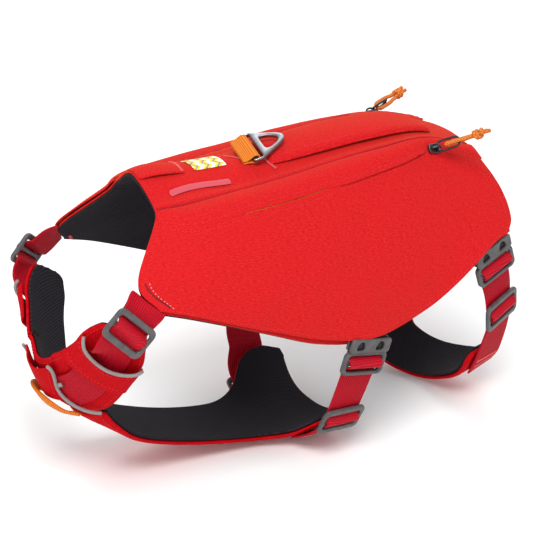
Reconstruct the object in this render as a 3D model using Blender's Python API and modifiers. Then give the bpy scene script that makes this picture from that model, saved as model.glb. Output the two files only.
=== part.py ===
# Pack-style dog harness, small size, in its worn form with nobody in it.
# Blender 4.5.  Units: tables in millimetres, objects in metres.  +Z is up, +X runs
# from the chest to the tail, -Y is the dog's left side.  The origin is where the back
# touches the lining under the leash ring; the tables count Z from 9 mm higher.

from collections import namedtuple
from math import cos, exp, pi, radians, sin

import bmesh
import bpy
import numpy as np
from mathutils import Matrix, Vector

MM = 0.001
GAP = 0.3                    # clear space between neighbouring pieces
LEFT, RIGHT = -1.0, 1.0      # the side of the dog, as the sign of Y
TABLE_DROP = 9.0             # from the tables' height datum down to the origin

# ---- driving sizes, millimetres -------------------------------------------------
SHELL_WALL = 1.2             # woven face cloth with its backing
LINING_WALL = 1.8            # spacer lining
PAD_SHELL = 2.6              # padded outer half of the chest, sternum and girth pads
PAD_LINING = 2.0             # lined inner half of those pads
WEB_WIDTH = 25.0             # webbing, the scale cue of the whole part
WEB_WALL = 1.5
PIPING_RADIUS = 1.2
CORD_RADIUS = 1.4            # zip pull cord
WIRE_RADIUS = 0.8            # wire loop of a zip pull

HANDLE_WALL = 2.8
HANDLE_RISE = 4.6
SEAM_V = 0.20                # where the yoke seam runs, as a share of spine to hem
ZIP_V = 0.29                 # where the zip runs
FLANK_V = 0.62
ZIP_GAP_V = 0.008            # half of the slot that shows the zip
BELLY_U = 0.55               # station of the belly buckle
REAR_U = 0.935               # station of the rear buckle
BELLY_ROOM = 5.0             # the pocket's extra height at its hem, over each buckle
REAR_ROOM = 9.4
ZIP_DEPTH = 1.5              # the tape's base below the inside of the pocket cloth

ADJUSTER_LONG = 33.6         # three-bar slider
ADJUSTER_SHORT = 21.8
ADJUSTER_WALL = 2.2
LATCH_LONG = 34.0            # lower, inserted half of a side-release buckle
LATCH_SHORT = 17.6
LATCH_WALL = 3.4
SOCKET_LONG = 32.0           # upper, receiving half of the buckle
SOCKET_SHORT = 10.6
SOCKET_WALL = 5.4
BAR_WIDTH = 3.0
SLOT_WIDTH = 27.4            # webbing width with running room
TAB_WALL = 1.0               # tape that holds a buckle to the saddle

RING_WALL = 3.0              # leash ring plate
RING_SLOT = 4.8              # far side of its webbing slot from its bar's axis
FOLD_RADIUS = 2.3            # inside of the webbing round the ring's bar
SLIDER_LONG = 9.0            # zip slider
SLIDER_WIDE = 7.0
SLIDER_BASE = 2.4
SLIDER_TALL = 6.0
PIVOT_HEIGHT = 4.2           # the bail's hole above the slider's foot

# ---- the saddle: one row per station from the neck edge to the rear edge ---------
Station = namedtuple("Station", (
    "spine_x spine_z seam_x seam_y seam_z zip_x zip_y zip_z "
    "flank_x flank_y flank_z hem_x hem_y hem_z"))
STATIONS = (
    Station(-83, -0.5, -81, 28, -16.5, -84, 34, -24, -108, 56, -51, -100, 70, -67),
    Station(-60, -2.5, -62, 31, -16.5, -63, 45, -28, -71, 63, -60, -73, 74, -77),
    Station(-25, -5, -25, 30, -16.5, -25, 46, -26, -28, 66, -66, -30, 76, -96),
    Station(12, -6, 12, 30, -14.5, 13, 45, -25, 12, 67, -70, 15, 76, -116),
    Station(48, -6, 48, 30, -11.5, 42, 43, -22, 50, 66, -71, 55, 76, -122),
    Station(88, -6.5, 90, 29, -9.5, 92, 38.5, -19, 92, 63, -64, 97, 74, -112),
    Station(128, -10, 126, 27, -11, 127, 32.5, -18, 135, 58, -54, 137, 71, -90),
    Station(164, -20.5, 163, 28, -23, 165, 38, -30, 172, 57, -51, 171, 67, -74),
)

# Height of the pocket above the saddle, at its front and its rear, from seam to hem.
Lift = namedtuple("Lift", "v front rear")
POCKET_LIFTS = (
    Lift(SEAM_V, 0.4, 0.4), Lift(0.25, 7.6, 4.0), Lift(ZIP_V, 6.2, 4.6), Lift(0.45, 8.0, 7.0),
    Lift(FLANK_V, 8.0, 7.6), Lift(0.85, 5.4, 5.0), Lift(1.0, 1.8, 1.8))

# ---- pads, straps: rows run along the piece; n is the outward direction ----------
Row = namedtuple("Row", "x y z nx ny nz half")
CHEST_HALF = (
    Row(-121.5, -59.5, -82.5, -0.33, -0.94, 0.07, 15.5),
    Row(-127, -53, -93.5, -0.49, -0.87, -0.10, 21.5),
    Row(-132, -44.5, -107, -0.62, -0.74, -0.26, 22.5),
    Row(-141, -24, -128, -0.74, -0.58, -0.33, 25.5),
    Row(-150, 0, -133, -0.92, 0.00, -0.40, 19),
)
GIRTH_ROWS = (
    Row(169, -51, -170, 0.20, -0.95, -0.20, 16),
    Row(168, -37, -190, 0.30, -0.72, -0.62, 18),
    Row(162, 0, -203, 0.46, 0.00, -0.88, 17),
    Row(153, 30, -201, 0.45, 0.25, -0.86, 18),
    Row(151, 47, -191, 0.36, 0.62, -0.70, 18),
    Row(158, 57, -168, 0.20, 0.95, -0.20, 16),
)

# The sternum pad: sweep moves its edges along X, rise lifts them.
Strip = namedtuple("Strip", "x z half sweep rise")
STERNUM_ROWS = (
    Strip(-132.5, -159.5, 26, 10, 7),
    Strip(-120, -168.5, 28, 5, 4),
    Strip(-98, -182, 28, 0, 2),
    Strip(-64, -195, 26.5, 0, 1.5),
    Strip(-30, -203.5, 26.5, 0, 1.5),
    Strip(-6, -208, 30, 0, 3),
    Strip(12, -210, 42, 2, 9),
    Strip(25, -210, 56, 3, 21),
    Strip(40, -209, 60, 5, 23),
    Strip(53, -206, 54, 8, 16),
)


# ---- small maths ----------------------------------------------------------------
def unit(vector):
    return vector / np.linalg.norm(vector)


def through(knots, values, t):
    # Smooth curve through values at their knots, with slopes from the neighbours.
    i = min(max(int(np.searchsorted(knots, t, side="right")) - 1, 0), len(knots) - 2)

    def slope(k):
        low = max(k - 1, 0)
        high = min(k + 1, len(knots) - 1)
        return (values[high] - values[low]) / (knots[high] - knots[low])

    step = knots[i + 1] - knots[i]
    s = (t - knots[i]) / step
    start, end = values[i], values[i + 1]
    return (start * (2 * s**3 - 3 * s**2 + 1) + end * (3 * s**2 - 2 * s**3)
            + slope(i) * step * (s**3 - 2 * s**2 + s) + slope(i + 1) * step * (s**3 - s**2))


def along(rows, t):
    values = np.array(rows, float)
    return through(np.linspace(0, 1, len(rows)), values, t)


# ---- the saddle surface ------------------------------------------------------------
def saddle_point(u, across):
    # u runs from the neck edge to the rear edge, across from -1 (left hem) to 1.
    row = Station(*along(STATIONS, u))
    side = -1.0 if across < 0 else 1.0
    knots = np.array([-SEAM_V, 0.0, SEAM_V, ZIP_V, FLANK_V, 1.0])
    lines = np.array([
        (row.seam_x, -row.seam_y, row.seam_z),
        (row.spine_x, 0.0, row.spine_z),
        (row.seam_x, row.seam_y, row.seam_z),
        (row.zip_x, row.zip_y, row.zip_z),
        (row.flank_x, row.flank_y, row.flank_z),
        (row.hem_x, row.hem_y, row.hem_z)])
    point = through(knots, lines, abs(across))
    return point * (1.0, side, 1.0)


def out_of(surface, a, b, turn):
    # Outward direction of a surface whose second parameter runs from -1 to 1.
    step = 0.01
    low_a, high_a = max(a - step, 0.0), min(a + step, 1.0)
    low_b, high_b = max(b - step, -1.0), min(b + step, 1.0)
    run = surface(high_a, b) - surface(low_a, b)
    across = surface(a, high_b) - surface(a, low_b)
    return unit(np.cross(run, across)) * turn


def on_saddle(u, across, lift=0.0):
    return saddle_point(u, across) + out_of(saddle_point, u, across, 1) * lift


def pocket_lift(u, v):
    knots = np.array([lift.v for lift in POCKET_LIFTS])
    heights = np.array([lift.front + (lift.rear - lift.front) * u for lift in POCKET_LIFTS])
    ends = sin(pi * min(max(u, 0.0), 1.0)) ** 0.45
    at_buckles = BELLY_ROOM * near(u, BELLY_U, 0.08) + REAR_ROOM * near(u, REAR_U - 0.04, 0.14)
    room = at_buckles * max(0.0, (v - FLANK_V) / (1 - FLANK_V))
    return GAP + float(through(knots, heights, v)) * (0.1 + 0.9 * ends) + room


def near(u, station, reach):
    return exp(-((u - station) / reach) ** 2)


def pocket_hem(u):
    # The pocket stops short of the saddle's hem in front of each buckle.
    return 0.985 - 0.05 * near(u, BELLY_U - 0.1, 0.14) - 0.055 * near(u, REAR_U, 0.08)


# ---- bands: pads and straps along a route --------------------------------------------
def band_frame(rows, t):
    step = 0.004
    row = Row(*along(rows, t))
    ahead = along(rows, min(t + step, 1.0))[:3]
    behind = along(rows, max(t - step, 0.0))[:3]
    run = unit(ahead - behind)
    side = unit(np.cross(run, (row.nx, row.ny, row.nz)))
    out = np.cross(side, run)
    return np.array(row[:3]), run, side, out, row.half


def mirrored_rows(half_rows):
    far = [row._replace(y=-row.y, ny=-row.ny) for row in reversed(half_rows[:-1])]
    return tuple(half_rows) + tuple(far)


CHEST_ROWS = mirrored_rows(CHEST_HALF)


def band_point(rows, t, b, crown):
    # b runs over the width from -1 to 1; crown lowers the edges.
    centre, _, side, out, half = band_frame(rows, t)
    return centre + side * half * b - out * crown * b * b


def chest_point(t, b):
    return band_point(CHEST_ROWS, t, b, 1.5)


def girth_point(t, b):
    return band_point(GIRTH_ROWS, t, b, 1.0)


def sternum_point(t, b):
    row = Strip(*along(STERNUM_ROWS, t))
    return np.array((row.x + row.sweep * b * b, row.half * b,
                     row.z + row.rise * abs(b) ** 2.4))


def on_pad(surface, t, b, lift=0.0):
    return surface(t, b) + out_of(surface, t, b, -1) * lift


# ---- making objects -----------------------------------------------------------------
def clear_scene():
    for old in list(bpy.data.objects):
        bpy.data.objects.remove(old, do_unlink=True)


def finish(name, colour, roughness, metallic):
    look = bpy.data.materials.new(name)
    look.use_nodes = True
    shader = look.node_tree.nodes["Principled BSDF"]
    shader.inputs["Base Color"].default_value = (*colour, 1.0)
    shader.inputs["Roughness"].default_value = roughness
    shader.inputs["Metallic"].default_value = metallic
    return look


FINISHES = {
    "face_cloth": ((0.78, 0.02, 0.02), 0.85, 0.0),
    "webbing": ((0.55, 0.01, 0.015), 0.8, 0.0),
    "lining": ((0.02, 0.02, 0.025), 0.95, 0.0),
    "piping": ((0.3, 0.3, 0.28), 0.7, 0.0),
    "plastic": ((0.12, 0.11, 0.11), 0.45, 0.0),
    "metal": ((0.25, 0.26, 0.27), 0.3, 1.0),
    "orange_web": ((0.86, 0.35, 0.06), 0.8, 0.0),
    "orange_cord": ((0.83, 0.22, 0.02), 0.8, 0.0),
    "label": ((0.9, 0.7, 0.05), 0.7, 0.0),
}


def new_object(name, mesh, look, parts):
    piece = bpy.data.objects.new(name, mesh)
    parts.objects.link(piece)
    piece.data.materials.append(finish(name, *FINISHES[look]))
    return piece


def sheet(name, place, cells, wall, look, parts):
    # A grid of cells laid on place(a, b), a and b from 0 to 1, then given its wall
    # on the side that faces along the cross product of a and b.
    mesh = bpy.data.meshes.new(name)
    grid = bmesh.new()
    bmesh.ops.create_grid(grid, x_segments=cells[0], y_segments=cells[1], size=0.5)
    for vertex in grid.verts:
        vertex.co = Vector(place(vertex.co.x + 0.5, vertex.co.y + 0.5)) * MM
    grid.to_mesh(mesh)
    grid.free()
    piece = new_object(name, mesh, look, parts)
    skin = piece.modifiers.new("wall", "SOLIDIFY")
    skin.thickness = wall * MM
    skin.offset = 1.0
    return piece


def tube(name, points, radius, look, parts, closed=False):
    curve = bpy.data.curves.new(name, "CURVE")
    curve.dimensions = "3D"
    curve.bevel_depth = radius * MM
    curve.bevel_resolution = 2
    curve.use_fill_caps = not closed
    spline = curve.splines.new("POLY")
    spline.points.add(len(points) - 1)
    for knot, point in zip(spline.points, points):
        knot.co = (*(Vector(point) * MM), 1.0)
    spline.use_cyclic_u = closed
    return new_object(name, curve, look, parts)


def block(mesh_name, size, middle=(0.0, 0.0, 0.0)):
    mesh = bpy.data.meshes.new(mesh_name)
    cube = bmesh.new()
    bmesh.ops.create_cube(cube, size=1.0)
    for vertex in cube.verts:
        vertex.co = Vector(vertex.co[k] * size[k] + middle[k] for k in range(3)) * MM
    cube.to_mesh(mesh)
    cube.free()
    return mesh


def bevel(piece, width):
    rounding = piece.modifiers.new("bevel", "BEVEL")
    rounding.width = width * MM
    rounding.segments = 1
    rounding.limit_method = "ANGLE"
    rounding.angle_limit = radians(50)


def cut(piece, cutter_mesh, cutters):
    cutter = bpy.data.objects.new(cutter_mesh.name, cutter_mesh)
    cutters.objects.link(cutter)
    cutter.hide_render = True
    cutter.display_type = "WIRE"
    cutter.matrix_world = piece.matrix_world
    slot = piece.modifiers.new("cut", "BOOLEAN")
    slot.operation = "DIFFERENCE"
    slot.object = cutter


def seat(piece, centre, side, run, out):
    # Local X lies across the strap, Y runs back along it, Z faces out.
    turn = Matrix((-side, -run, out)).transposed().to_4x4()
    piece.matrix_world = Matrix.Translation(Vector(centre) * MM) @ turn


# ---- straps with their hardware --------------------------------------------------------
Hump = namedtuple("Hump", "at reach height")     # the webbing's rise over a bar
FINE_STEPS = 400


def arc_table(rows):
    # Route parameters and the arc length at each.
    shares = np.linspace(0.0, 1.0, FINE_STEPS + 1)
    centres = np.array([along(rows, t)[:3] for t in shares])
    steps = np.linalg.norm(np.diff(centres, axis=0), axis=1)
    return shares, np.concatenate(([0.0], np.cumsum(steps)))


def strap_samples(rows, humps, spacing):
    # Points along the route by arc length, closer together over each bar.
    shares, lengths = arc_table(rows)
    total = lengths[-1]
    stops = set(np.linspace(0, total, int(total / spacing) + 2))
    middles = [float(np.interp(hump.at, shares, lengths)) for hump in humps]
    for hump, middle in zip(humps, middles):
        stops = {stop for stop in stops if abs(stop - middle) > hump.reach + 0.8}
        stops |= {middle + hump.reach * k / 5 for k in range(-5, 6)}
    samples = []
    for stop in sorted(stops):
        centre, _, side, out, _ = band_frame(rows, float(np.interp(stop, lengths, shares)))
        rise = sum(hump.height * cos(pi * (stop - middle) / (2 * hump.reach)) ** 2
                   for hump, middle in zip(humps, middles) if abs(stop - middle) < hump.reach)
        samples.append((centre + out * rise, side))
    return samples


def strap(name, rows, humps, look, parts, wall=WEB_WALL, spacing=6.0):
    samples = strap_samples(rows, humps, spacing)
    last = len(samples) - 1
    half = rows[0][-1]

    def place(a, b):
        centre, side = samples[round(a * last)]
        return centre + side * half * (1 - 2 * b)

    return sheet(name, place, (last, 1), wall, look, parts)


def slotted_plate(name, size, inner, rows, at, parts, cutters):
    # A plate with two slots beside a middle bar, lying on the strap.
    centre, run, side, out, _ = band_frame(rows, at)
    long_side, short_side, wall = size
    lift = plate_lift(rows, at, short_side)
    piece = new_object(name, block(name, size), "plastic", parts)
    seat(piece, centre + out * (lift + wall / 2), side, run, out)
    slot_width = (inner - BAR_WIDTH) / 2
    for end in (-1, 1):
        middle = (0.0, end * (BAR_WIDTH + slot_width) / 2, 0.0)
        cut(piece, block(name + "_slot", (SLOT_WIDTH, slot_width, wall * 3), middle), cutters)
    bevel(piece, 0.7)
    return piece


def plate_lift(rows, at, short_side):
    # How far above the route a plate must lie to clear the webbing under its rails.
    shares, lengths = arc_table(rows)
    centre, _, _, out, _ = band_frame(rows, at)
    middle = float(np.interp(at, shares, lengths))
    near = [t for t, length in zip(shares, lengths) if abs(length - middle) < short_side / 2]
    rises = []
    for t in near:
        spot, _, across, _, half = band_frame(rows, t)
        rises += [float(np.dot(spot + across * edge - centre, out)) for edge in (-half, half)]
    return max(rises) + WEB_WALL + GAP


def adjuster(name, rows, at, parts, cutters):
    inner = ADJUSTER_SHORT - 8.0
    return slotted_plate(name, (ADJUSTER_LONG, ADJUSTER_SHORT, ADJUSTER_WALL), inner,
                         rows, at, parts, cutters)


def adjuster_hump(rows, at):
    return Hump(at, 6.6, plate_lift(rows, at, ADJUSTER_SHORT) + ADJUSTER_WALL + 1.4)


def latch(name, rows, at, parts, cutters):
    inner = LATCH_SHORT - 5.6
    return slotted_plate(name, (LATCH_LONG, LATCH_SHORT, LATCH_WALL), inner,
                         rows, at, parts, cutters)


def latch_hump(rows, at):
    return Hump(at, 5.8, plate_lift(rows, at, LATCH_SHORT) + LATCH_WALL + 1.6)


def socket(name, rows, at, parts, cutters):
    # The receiving half, above the latch, with its two side windows.
    centre, run, side, out, _ = band_frame(rows, at)
    piece = new_object(name, block(name, (SOCKET_LONG, SOCKET_SHORT, SOCKET_WALL)),
                       "plastic", parts)
    above = (LATCH_SHORT + SOCKET_SHORT) / 2 + GAP
    middle = centre + out * (plate_lift(rows, at, LATCH_SHORT) + LATCH_WALL / 2) + run * above
    seat(piece, middle, side, run, out)
    for end in (-1, 1):
        window = block(name + "_window", (5.0, 6.0, SOCKET_WALL * 3),
                       (end * (SOCKET_LONG / 2 - 6.5), -1.0, 0.0))
        cut(piece, window, cutters)
    bevel(piece, 0.9)
    return piece


# ---- the saddle's pieces -----------------------------------------------------------------
def build_saddle(parts):
    def layer(depth):
        return lambda a, b: on_saddle(a, 2 * b - 1, depth)

    sheet("saddle_lining", layer(-SHELL_WALL - GAP - LINING_WALL), (18, 22), LINING_WALL,
          "lining", parts)
    sheet("saddle_shell", layer(-SHELL_WALL), (18, 22), SHELL_WALL, "face_cloth", parts)


def mirrored(place, side):
    # Turns a left-side placement over to the right and keeps its wall facing out.
    if side == LEFT:
        return place
    return lambda a, b: place(a, 1.0 - b) * (1.0, -1.0, 1.0)


def build_pocket(side, word, parts):
    def face(a, b):
        u = 0.012 + 0.976 * a
        hem = pocket_hem(u)
        v = hem + (ZIP_V + ZIP_GAP_V - hem) * b
        return on_saddle(u, -v, pocket_lift(u, v))

    def flap(a, b):
        v = ZIP_V - ZIP_GAP_V + (SEAM_V - ZIP_V + ZIP_GAP_V) * b
        u = 0.012 + 0.976 * a
        return on_saddle(u, -v, pocket_lift(u, v))

    def tape(a, b):
        v = ZIP_V + ZIP_GAP_V * 2 - ZIP_GAP_V * 4 * b
        u = 0.25 + 0.6 * a
        return on_saddle(u, -v, pocket_lift(u, v) - ZIP_DEPTH)

    sheet("pocket_face_" + word, mirrored(face, side), (18, 9), SHELL_WALL, "face_cloth", parts)
    sheet("zip_flap_" + word, mirrored(flap, side), (18, 2), SHELL_WALL, "face_cloth", parts)
    sheet("zip_tape_" + word, mirrored(tape, side), (14, 2), 0.8, "orange_cord", parts)


def build_yoke(parts):
    handle_v = 0.125

    def handle(a, b):
        u = 0.425 + 0.475 * a
        across = handle_v * (2 * b - 1) * (0.84 + 0.16 * sin(pi * a) ** 0.5)
        edge = 1.0 - 0.6 * abs(2 * b - 1) ** 2.5
        return on_saddle(u, across, GAP + HANDLE_RISE * edge * sin(pi * a) ** 0.7)

    def tab(a, b):
        return on_saddle(0.004 + 0.185 * a, 0.055 * (2 * b - 1), GAP + 1.6 * sin(pi * a))

    def label(a, b):
        return on_saddle(0.222 + 0.09 * a, 0.063 * (2 * b - 1) + 0.01, GAP + 0.25)

    sheet("grab_handle", handle, (12, 6), HANDLE_WALL, "face_cloth", parts)
    sheet("spine_tab", tab, (5, 2), SHELL_WALL, "face_cloth", parts)
    sheet("back_label", label, (3, 4), 0.6, "label", parts)


# ---- chest, sternum and girth pads ---------------------------------------------------------
def build_pads(parts):
    def pad(surface, depth):
        return lambda a, b: on_pad(surface, a, 1 - 2 * b, -depth)

    layers = (("shell", PAD_SHELL, PAD_SHELL, "face_cloth"),
              ("lining", PAD_SHELL + GAP + PAD_LINING, PAD_LINING, "lining"))
    for word, depth, wall, look in layers:
        sheet("chest_" + word, pad(chest_point, depth), (20, 4), wall, look, parts)
        sheet("sternum_" + word, pad(sternum_point, depth), (16, 8), wall, look, parts)
        sheet("girth_" + word, pad(girth_point, depth), (16, 3), wall, look, parts)


# ---- routes of the straps: the inner face of the webbing, on the left side -----------------
def saddle_row(u, across, lift):
    return (*on_saddle(u, across, lift), *out_of(saddle_point, u, across, 1), WEB_WIDTH / 2)


def pad_row(surface, t, b, lift):
    return (*on_pad(surface, t, b, lift), *out_of(surface, t, b, -1), WEB_WIDTH / 2)


def free_row(x, y, z, nx, ny, nz):
    return (x, y, z, nx, ny, nz, WEB_WIDTH / 2)


def on_side(rows, side):
    # Routes are written for the left; the right side is their mirror image.
    flip = -side
    return [(x, y * flip, z, nx, ny * flip, nz, half) for x, y, z, nx, ny, nz, half in rows]


SEAT_LIFT = 0.6      # webbing above the pad that it is sewn to
CHEST_RUN = [pad_row(chest_point, t, b, SEAT_LIFT)
             for t, b in ((0.18, 0.0), (0.26, 0.0), (0.34, -0.05), (0.42, -0.15))]

SHOULDER_LEFT = [
    free_row(-106.5, -63.2, -61.5, -0.42, -0.76, 0.45),
    free_row(-113.0, -63.9, -67.6, -0.14, -0.98, 0.14),
    free_row(-123.0, -64.3, -76.2, -0.09, -0.99, 0.01),
    free_row(-130.5, -63.3, -84.5, -0.15, -0.98, -0.03),
] + CHEST_RUN
SHOULDER_RIGHT = [
    free_row(-106.5, -63.2, -61.5, -0.42, -0.76, 0.45),
    free_row(-115.5, -64.2, -66.2, -0.38, -0.87, 0.30),
    free_row(-125.5, -64.5, -74.0, -0.38, -0.87, 0.30),
    free_row(-132.0, -63.0, -84.5, -0.34, -0.92, 0.12),
] + CHEST_RUN
SHOULDER_SEAT = 2 / 7        # its adjuster is centred on the third of eight rows

WING_LIFT = 1.5              # straps under the curved wings of the sternum pad
BELLY_TOP = [
    free_row(37.6, -67.2, -171.5, 0.0, -0.90, -0.42),
    free_row(42.0, -72.5, -151.0, 0.0, -0.98, -0.20),
    free_row(45.3, -75.0, -136.3, 0.0, -0.99, -0.10),
    free_row(47.0, -75.6, -128.0, 0.0, -1.00, -0.06),
]
BELLY_LEFT = [
    pad_row(sternum_point, 0.79, -0.60, WING_LIFT),
    pad_row(sternum_point, 0.80, -0.80, 1.6 * WING_LIFT),
    free_row(35.0, -57.2, -192.0, 0.0, -0.88, -0.47),
    free_row(36.2, -62.5, -181.5, 0.0, -0.88, -0.47),
] + BELLY_TOP
BELLY_RIGHT = [
    pad_row(sternum_point, 0.80, -0.48, WING_LIFT),
    pad_row(sternum_point, 0.80, -0.68, WING_LIFT),
    pad_row(sternum_point, 0.80, -0.88, WING_LIFT),
    free_row(37.5, -62.5, -185.5, 0.0, -0.80, -0.60),
] + BELLY_TOP
BELLY_SEAT = {LEFT: 3 / 7, RIGHT: 1 / 7}
BELLY_LATCH = 6 / 7

REAR_TOP = [
    free_row(156.2, -67.6, -95.0, 0.10, -0.99, 0.05),
    free_row(153.9, -67.9, -87.5, 0.08, -0.99, 0.05),
]
REAR_LEFT = [
    free_row(170.8, -57.2, -150.0, 0.30, -0.95, -0.12),
    free_row(168.3, -61.0, -133.7, 0.30, -0.95, -0.08),
    free_row(163.5, -65.0, -114.5, 0.24, -0.96, -0.08),
] + REAR_TOP
REAR_RIGHT = [
    free_row(162.0, -59.8, -152.0, 0.20, -0.97, -0.12),
    free_row(162.5, -62.4, -138.5, 0.20, -0.97, -0.08),
    free_row(162.3, -65.0, -115.5, 0.22, -0.97, -0.08),
] + REAR_TOP
GIRTH_FOOT = {LEFT: (0.16, 0.04), RIGHT: (0.84, 0.96)}
REAR_SEAT = 3 / 6
REAR_LATCH = 5 / 6


def rear_rows(side):
    foot = [pad_row(girth_point, t, 0.0, 2 * SEAT_LIFT) for t in GIRTH_FOOT[side]]
    return foot + on_side(REAR_LEFT if side == LEFT else REAR_RIGHT, side)


TAB_LIFT = 0.8               # tabs above the saddle's curved cloth
SADDLE_LONG = 245.0          # along the hem line, front to rear


def buckle_tab(name, u, rows, at, parts):
    # Tape from the saddle, under the pocket, down to the top of the buckle.
    centre, run, across, out, half = band_frame(rows, at)
    reach = LATCH_SHORT / 2 + SOCKET_SHORT + 4 * GAP
    foot = centre + run * reach + out * (plate_lift(rows, at, LATCH_SHORT) + 0.4)
    side = LEFT if centre[1] < 0 else RIGHT

    def place(a, b):
        offset = half * (2 * b - 1)
        if a > 0.99:
            return foot + across * offset
        column = u + offset * across[0] / SADDLE_LONG
        return on_saddle(column, side * (0.74 + 0.18 * a), TAB_LIFT)

    sheet(name, place, (3, 4), TAB_WALL, "webbing", parts)


def buckle_set(word, rows, seat_at, latch_at, tab_u, parts, cutters):
    strap(word("strap"), rows, [adjuster_hump(rows, seat_at), latch_hump(rows, latch_at)], "webbing", parts)
    adjuster(word("adjuster"), rows, seat_at, parts, cutters)
    latch(word("latch"), rows, latch_at, parts, cutters)
    socket(word("socket"), rows, latch_at, parts, cutters)
    buckle_tab(word("tab"), tab_u, rows, latch_at, parts)


def build_straps(side, word, parts, cutters):
    shoulder = on_side(SHOULDER_LEFT if side == LEFT else SHOULDER_RIGHT, side)
    strap("shoulder_strap_" + word, shoulder, [adjuster_hump(shoulder, SHOULDER_SEAT)], "webbing", parts)
    adjuster("shoulder_adjuster_" + word, shoulder, SHOULDER_SEAT, parts, cutters)

    belly = on_side(BELLY_LEFT if side == LEFT else BELLY_RIGHT, side)
    buckle_set(lambda piece: "belly_" + piece + "_" + word, belly, BELLY_SEAT[side],
               BELLY_LATCH, BELLY_U, parts, cutters)
    rear = rear_rows(side)
    buckle_set(lambda piece: "rear_" + piece + "_" + word, rear, REAR_SEAT,
               REAR_LATCH, REAR_U, parts, cutters)


# ---- what lies on the chest pad ---------------------------------------------------------
PANEL_LIFT = SEAT_LIFT + WEB_WALL + 2 * GAP


def build_chest_cover(parts):
    def panel_edge(b):
        return 0.060 + 0.050 * b * b

    def panel(a, b):
        across = 0.84 - 1.26 * b
        t = 0.5 + (2 * a - 1) * panel_edge(across)
        return on_pad(chest_point, t, across, PANEL_LIFT + 1.4 * sin(pi * a))

    def piping(side, b):
        t = 0.5 + side * (panel_edge(b) + 0.012 + 0.016 * b * b)
        return on_pad(chest_point, t, b, PANEL_LIFT + 1.3 + 2.0 * max(b, 0.0) ** 2)

    sheet("chest_panel", panel, (5, 6), SHELL_WALL, "face_cloth", parts)
    for side, word in ((LEFT, "left"), (RIGHT, "right")):
        points = [piping(side, -0.96 + 1.84 * k / 12) for k in range(13)]
        tube("chest_piping_" + word, points, PIPING_RADIUS, "piping", parts)
        build_sleeve(side, word, parts)
    loop = [
        (-136.0, -18.0, -151.5, 0.1, -0.4, -0.9, 3.2),
        (-144.5, -14.0, -149.0, -0.5, -0.3, -0.8, 3.2),
        (-151.0, -5.0, -144.5, -0.8, -0.2, -0.5, 3.2),
        (-153.5, 5.0, -141.0, -0.85, 0.2, -0.45, 3.2),
        (-150.5, 13.5, -141.0, -0.6, 0.4, -0.6, 3.2),
        (-141.5, 18.0, -146.5, -0.2, 0.4, -0.9, 3.2),
    ]
    strap("front_loop", loop, [], "orange_web", parts, wall=1.8, spacing=4.0)


def build_sleeve(side, word, parts):
    def sleeve_lift(a, b):
        return 0.8 + (3.4 + 2.8 * (1 - a)) * (1 - abs(b) ** 8)

    def sleeve_top(b):
        return 0.147 + 0.073 * (1 - b * b) - 0.018 * b

    def sleeve(a, b):
        across = 1 - 2 * b
        upper, lower = sleeve_top(across), 0.288 + 0.012 * (1 - across**2)
        return on_pad(chest_point, upper + (lower - upper) * a, across, sleeve_lift(a, across))

    def piping_lift(b):
        return sleeve_lift(0, b) + 1.1 + 3.0 * b**4

    sheet("arm_sleeve_" + word, mirrored(sleeve, side), (4, 10), SHELL_WALL, "face_cloth", parts)
    rows = [1 - k / 6 for k in range(13)]
    points = [on_pad(chest_point, sleeve_top(b) - 0.012, b, piping_lift(b)) for b in rows]
    if side == RIGHT:
        points = [point * (1, -1, 1) for point in points]
    tube("sleeve_piping_" + word, points, PIPING_RADIUS, "piping", parts)


# ---- leash ring ------------------------------------------------------------------------------
RING_PIVOT = np.array((3.0, -1.0, -1.6))
RING_BAR = unit(np.array((4.0, 26.0, 5.0)))
RING_REACH = unit(np.array((0.953, -0.190, 0.236)))
RING_OUTLINE = (
    (-1.5, -15.0), (4.6, -15.2), (9.0, -13.2), (15.5, -9.3), (21.5, -5.6), (24.4, -2.9),
    (25.2, 0.0), (24.4, 2.9), (21.5, 5.6), (15.5, 9.3), (9.0, 13.2), (4.6, 15.2), (-1.5, 15.0))
RING_EYE = ((8.4, -7.6), (13.6, -5.2), (18.2, -2.4), (19.8, 0.0), (18.2, 2.4), (13.6, 5.2),
            (8.4, 7.6))


def prism(mesh_name, outline, wall):
    mesh = bpy.data.meshes.new(mesh_name)
    solid = bmesh.new()
    low = [solid.verts.new(Vector((x, y, -wall / 2)) * MM) for x, y in outline]
    base = solid.faces.new(low)
    top = bmesh.ops.extrude_face_region(solid, geom=[base])["geom"]
    for vertex in [item for item in top if isinstance(item, bmesh.types.BMVert)]:
        vertex.co.z += wall * MM
    bmesh.ops.recalc_face_normals(solid, faces=solid.faces)
    solid.to_mesh(mesh)
    solid.free()
    return mesh


def placed(pivot, forward, sideways):
    # Local X forward, Y sideways along a hinge, Z up, with the origin on the hinge.
    up = np.cross(forward, sideways)
    turn = Matrix((forward, sideways, up)).transposed().to_4x4()
    return Matrix.Translation(Vector(pivot) * MM) @ turn


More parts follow.
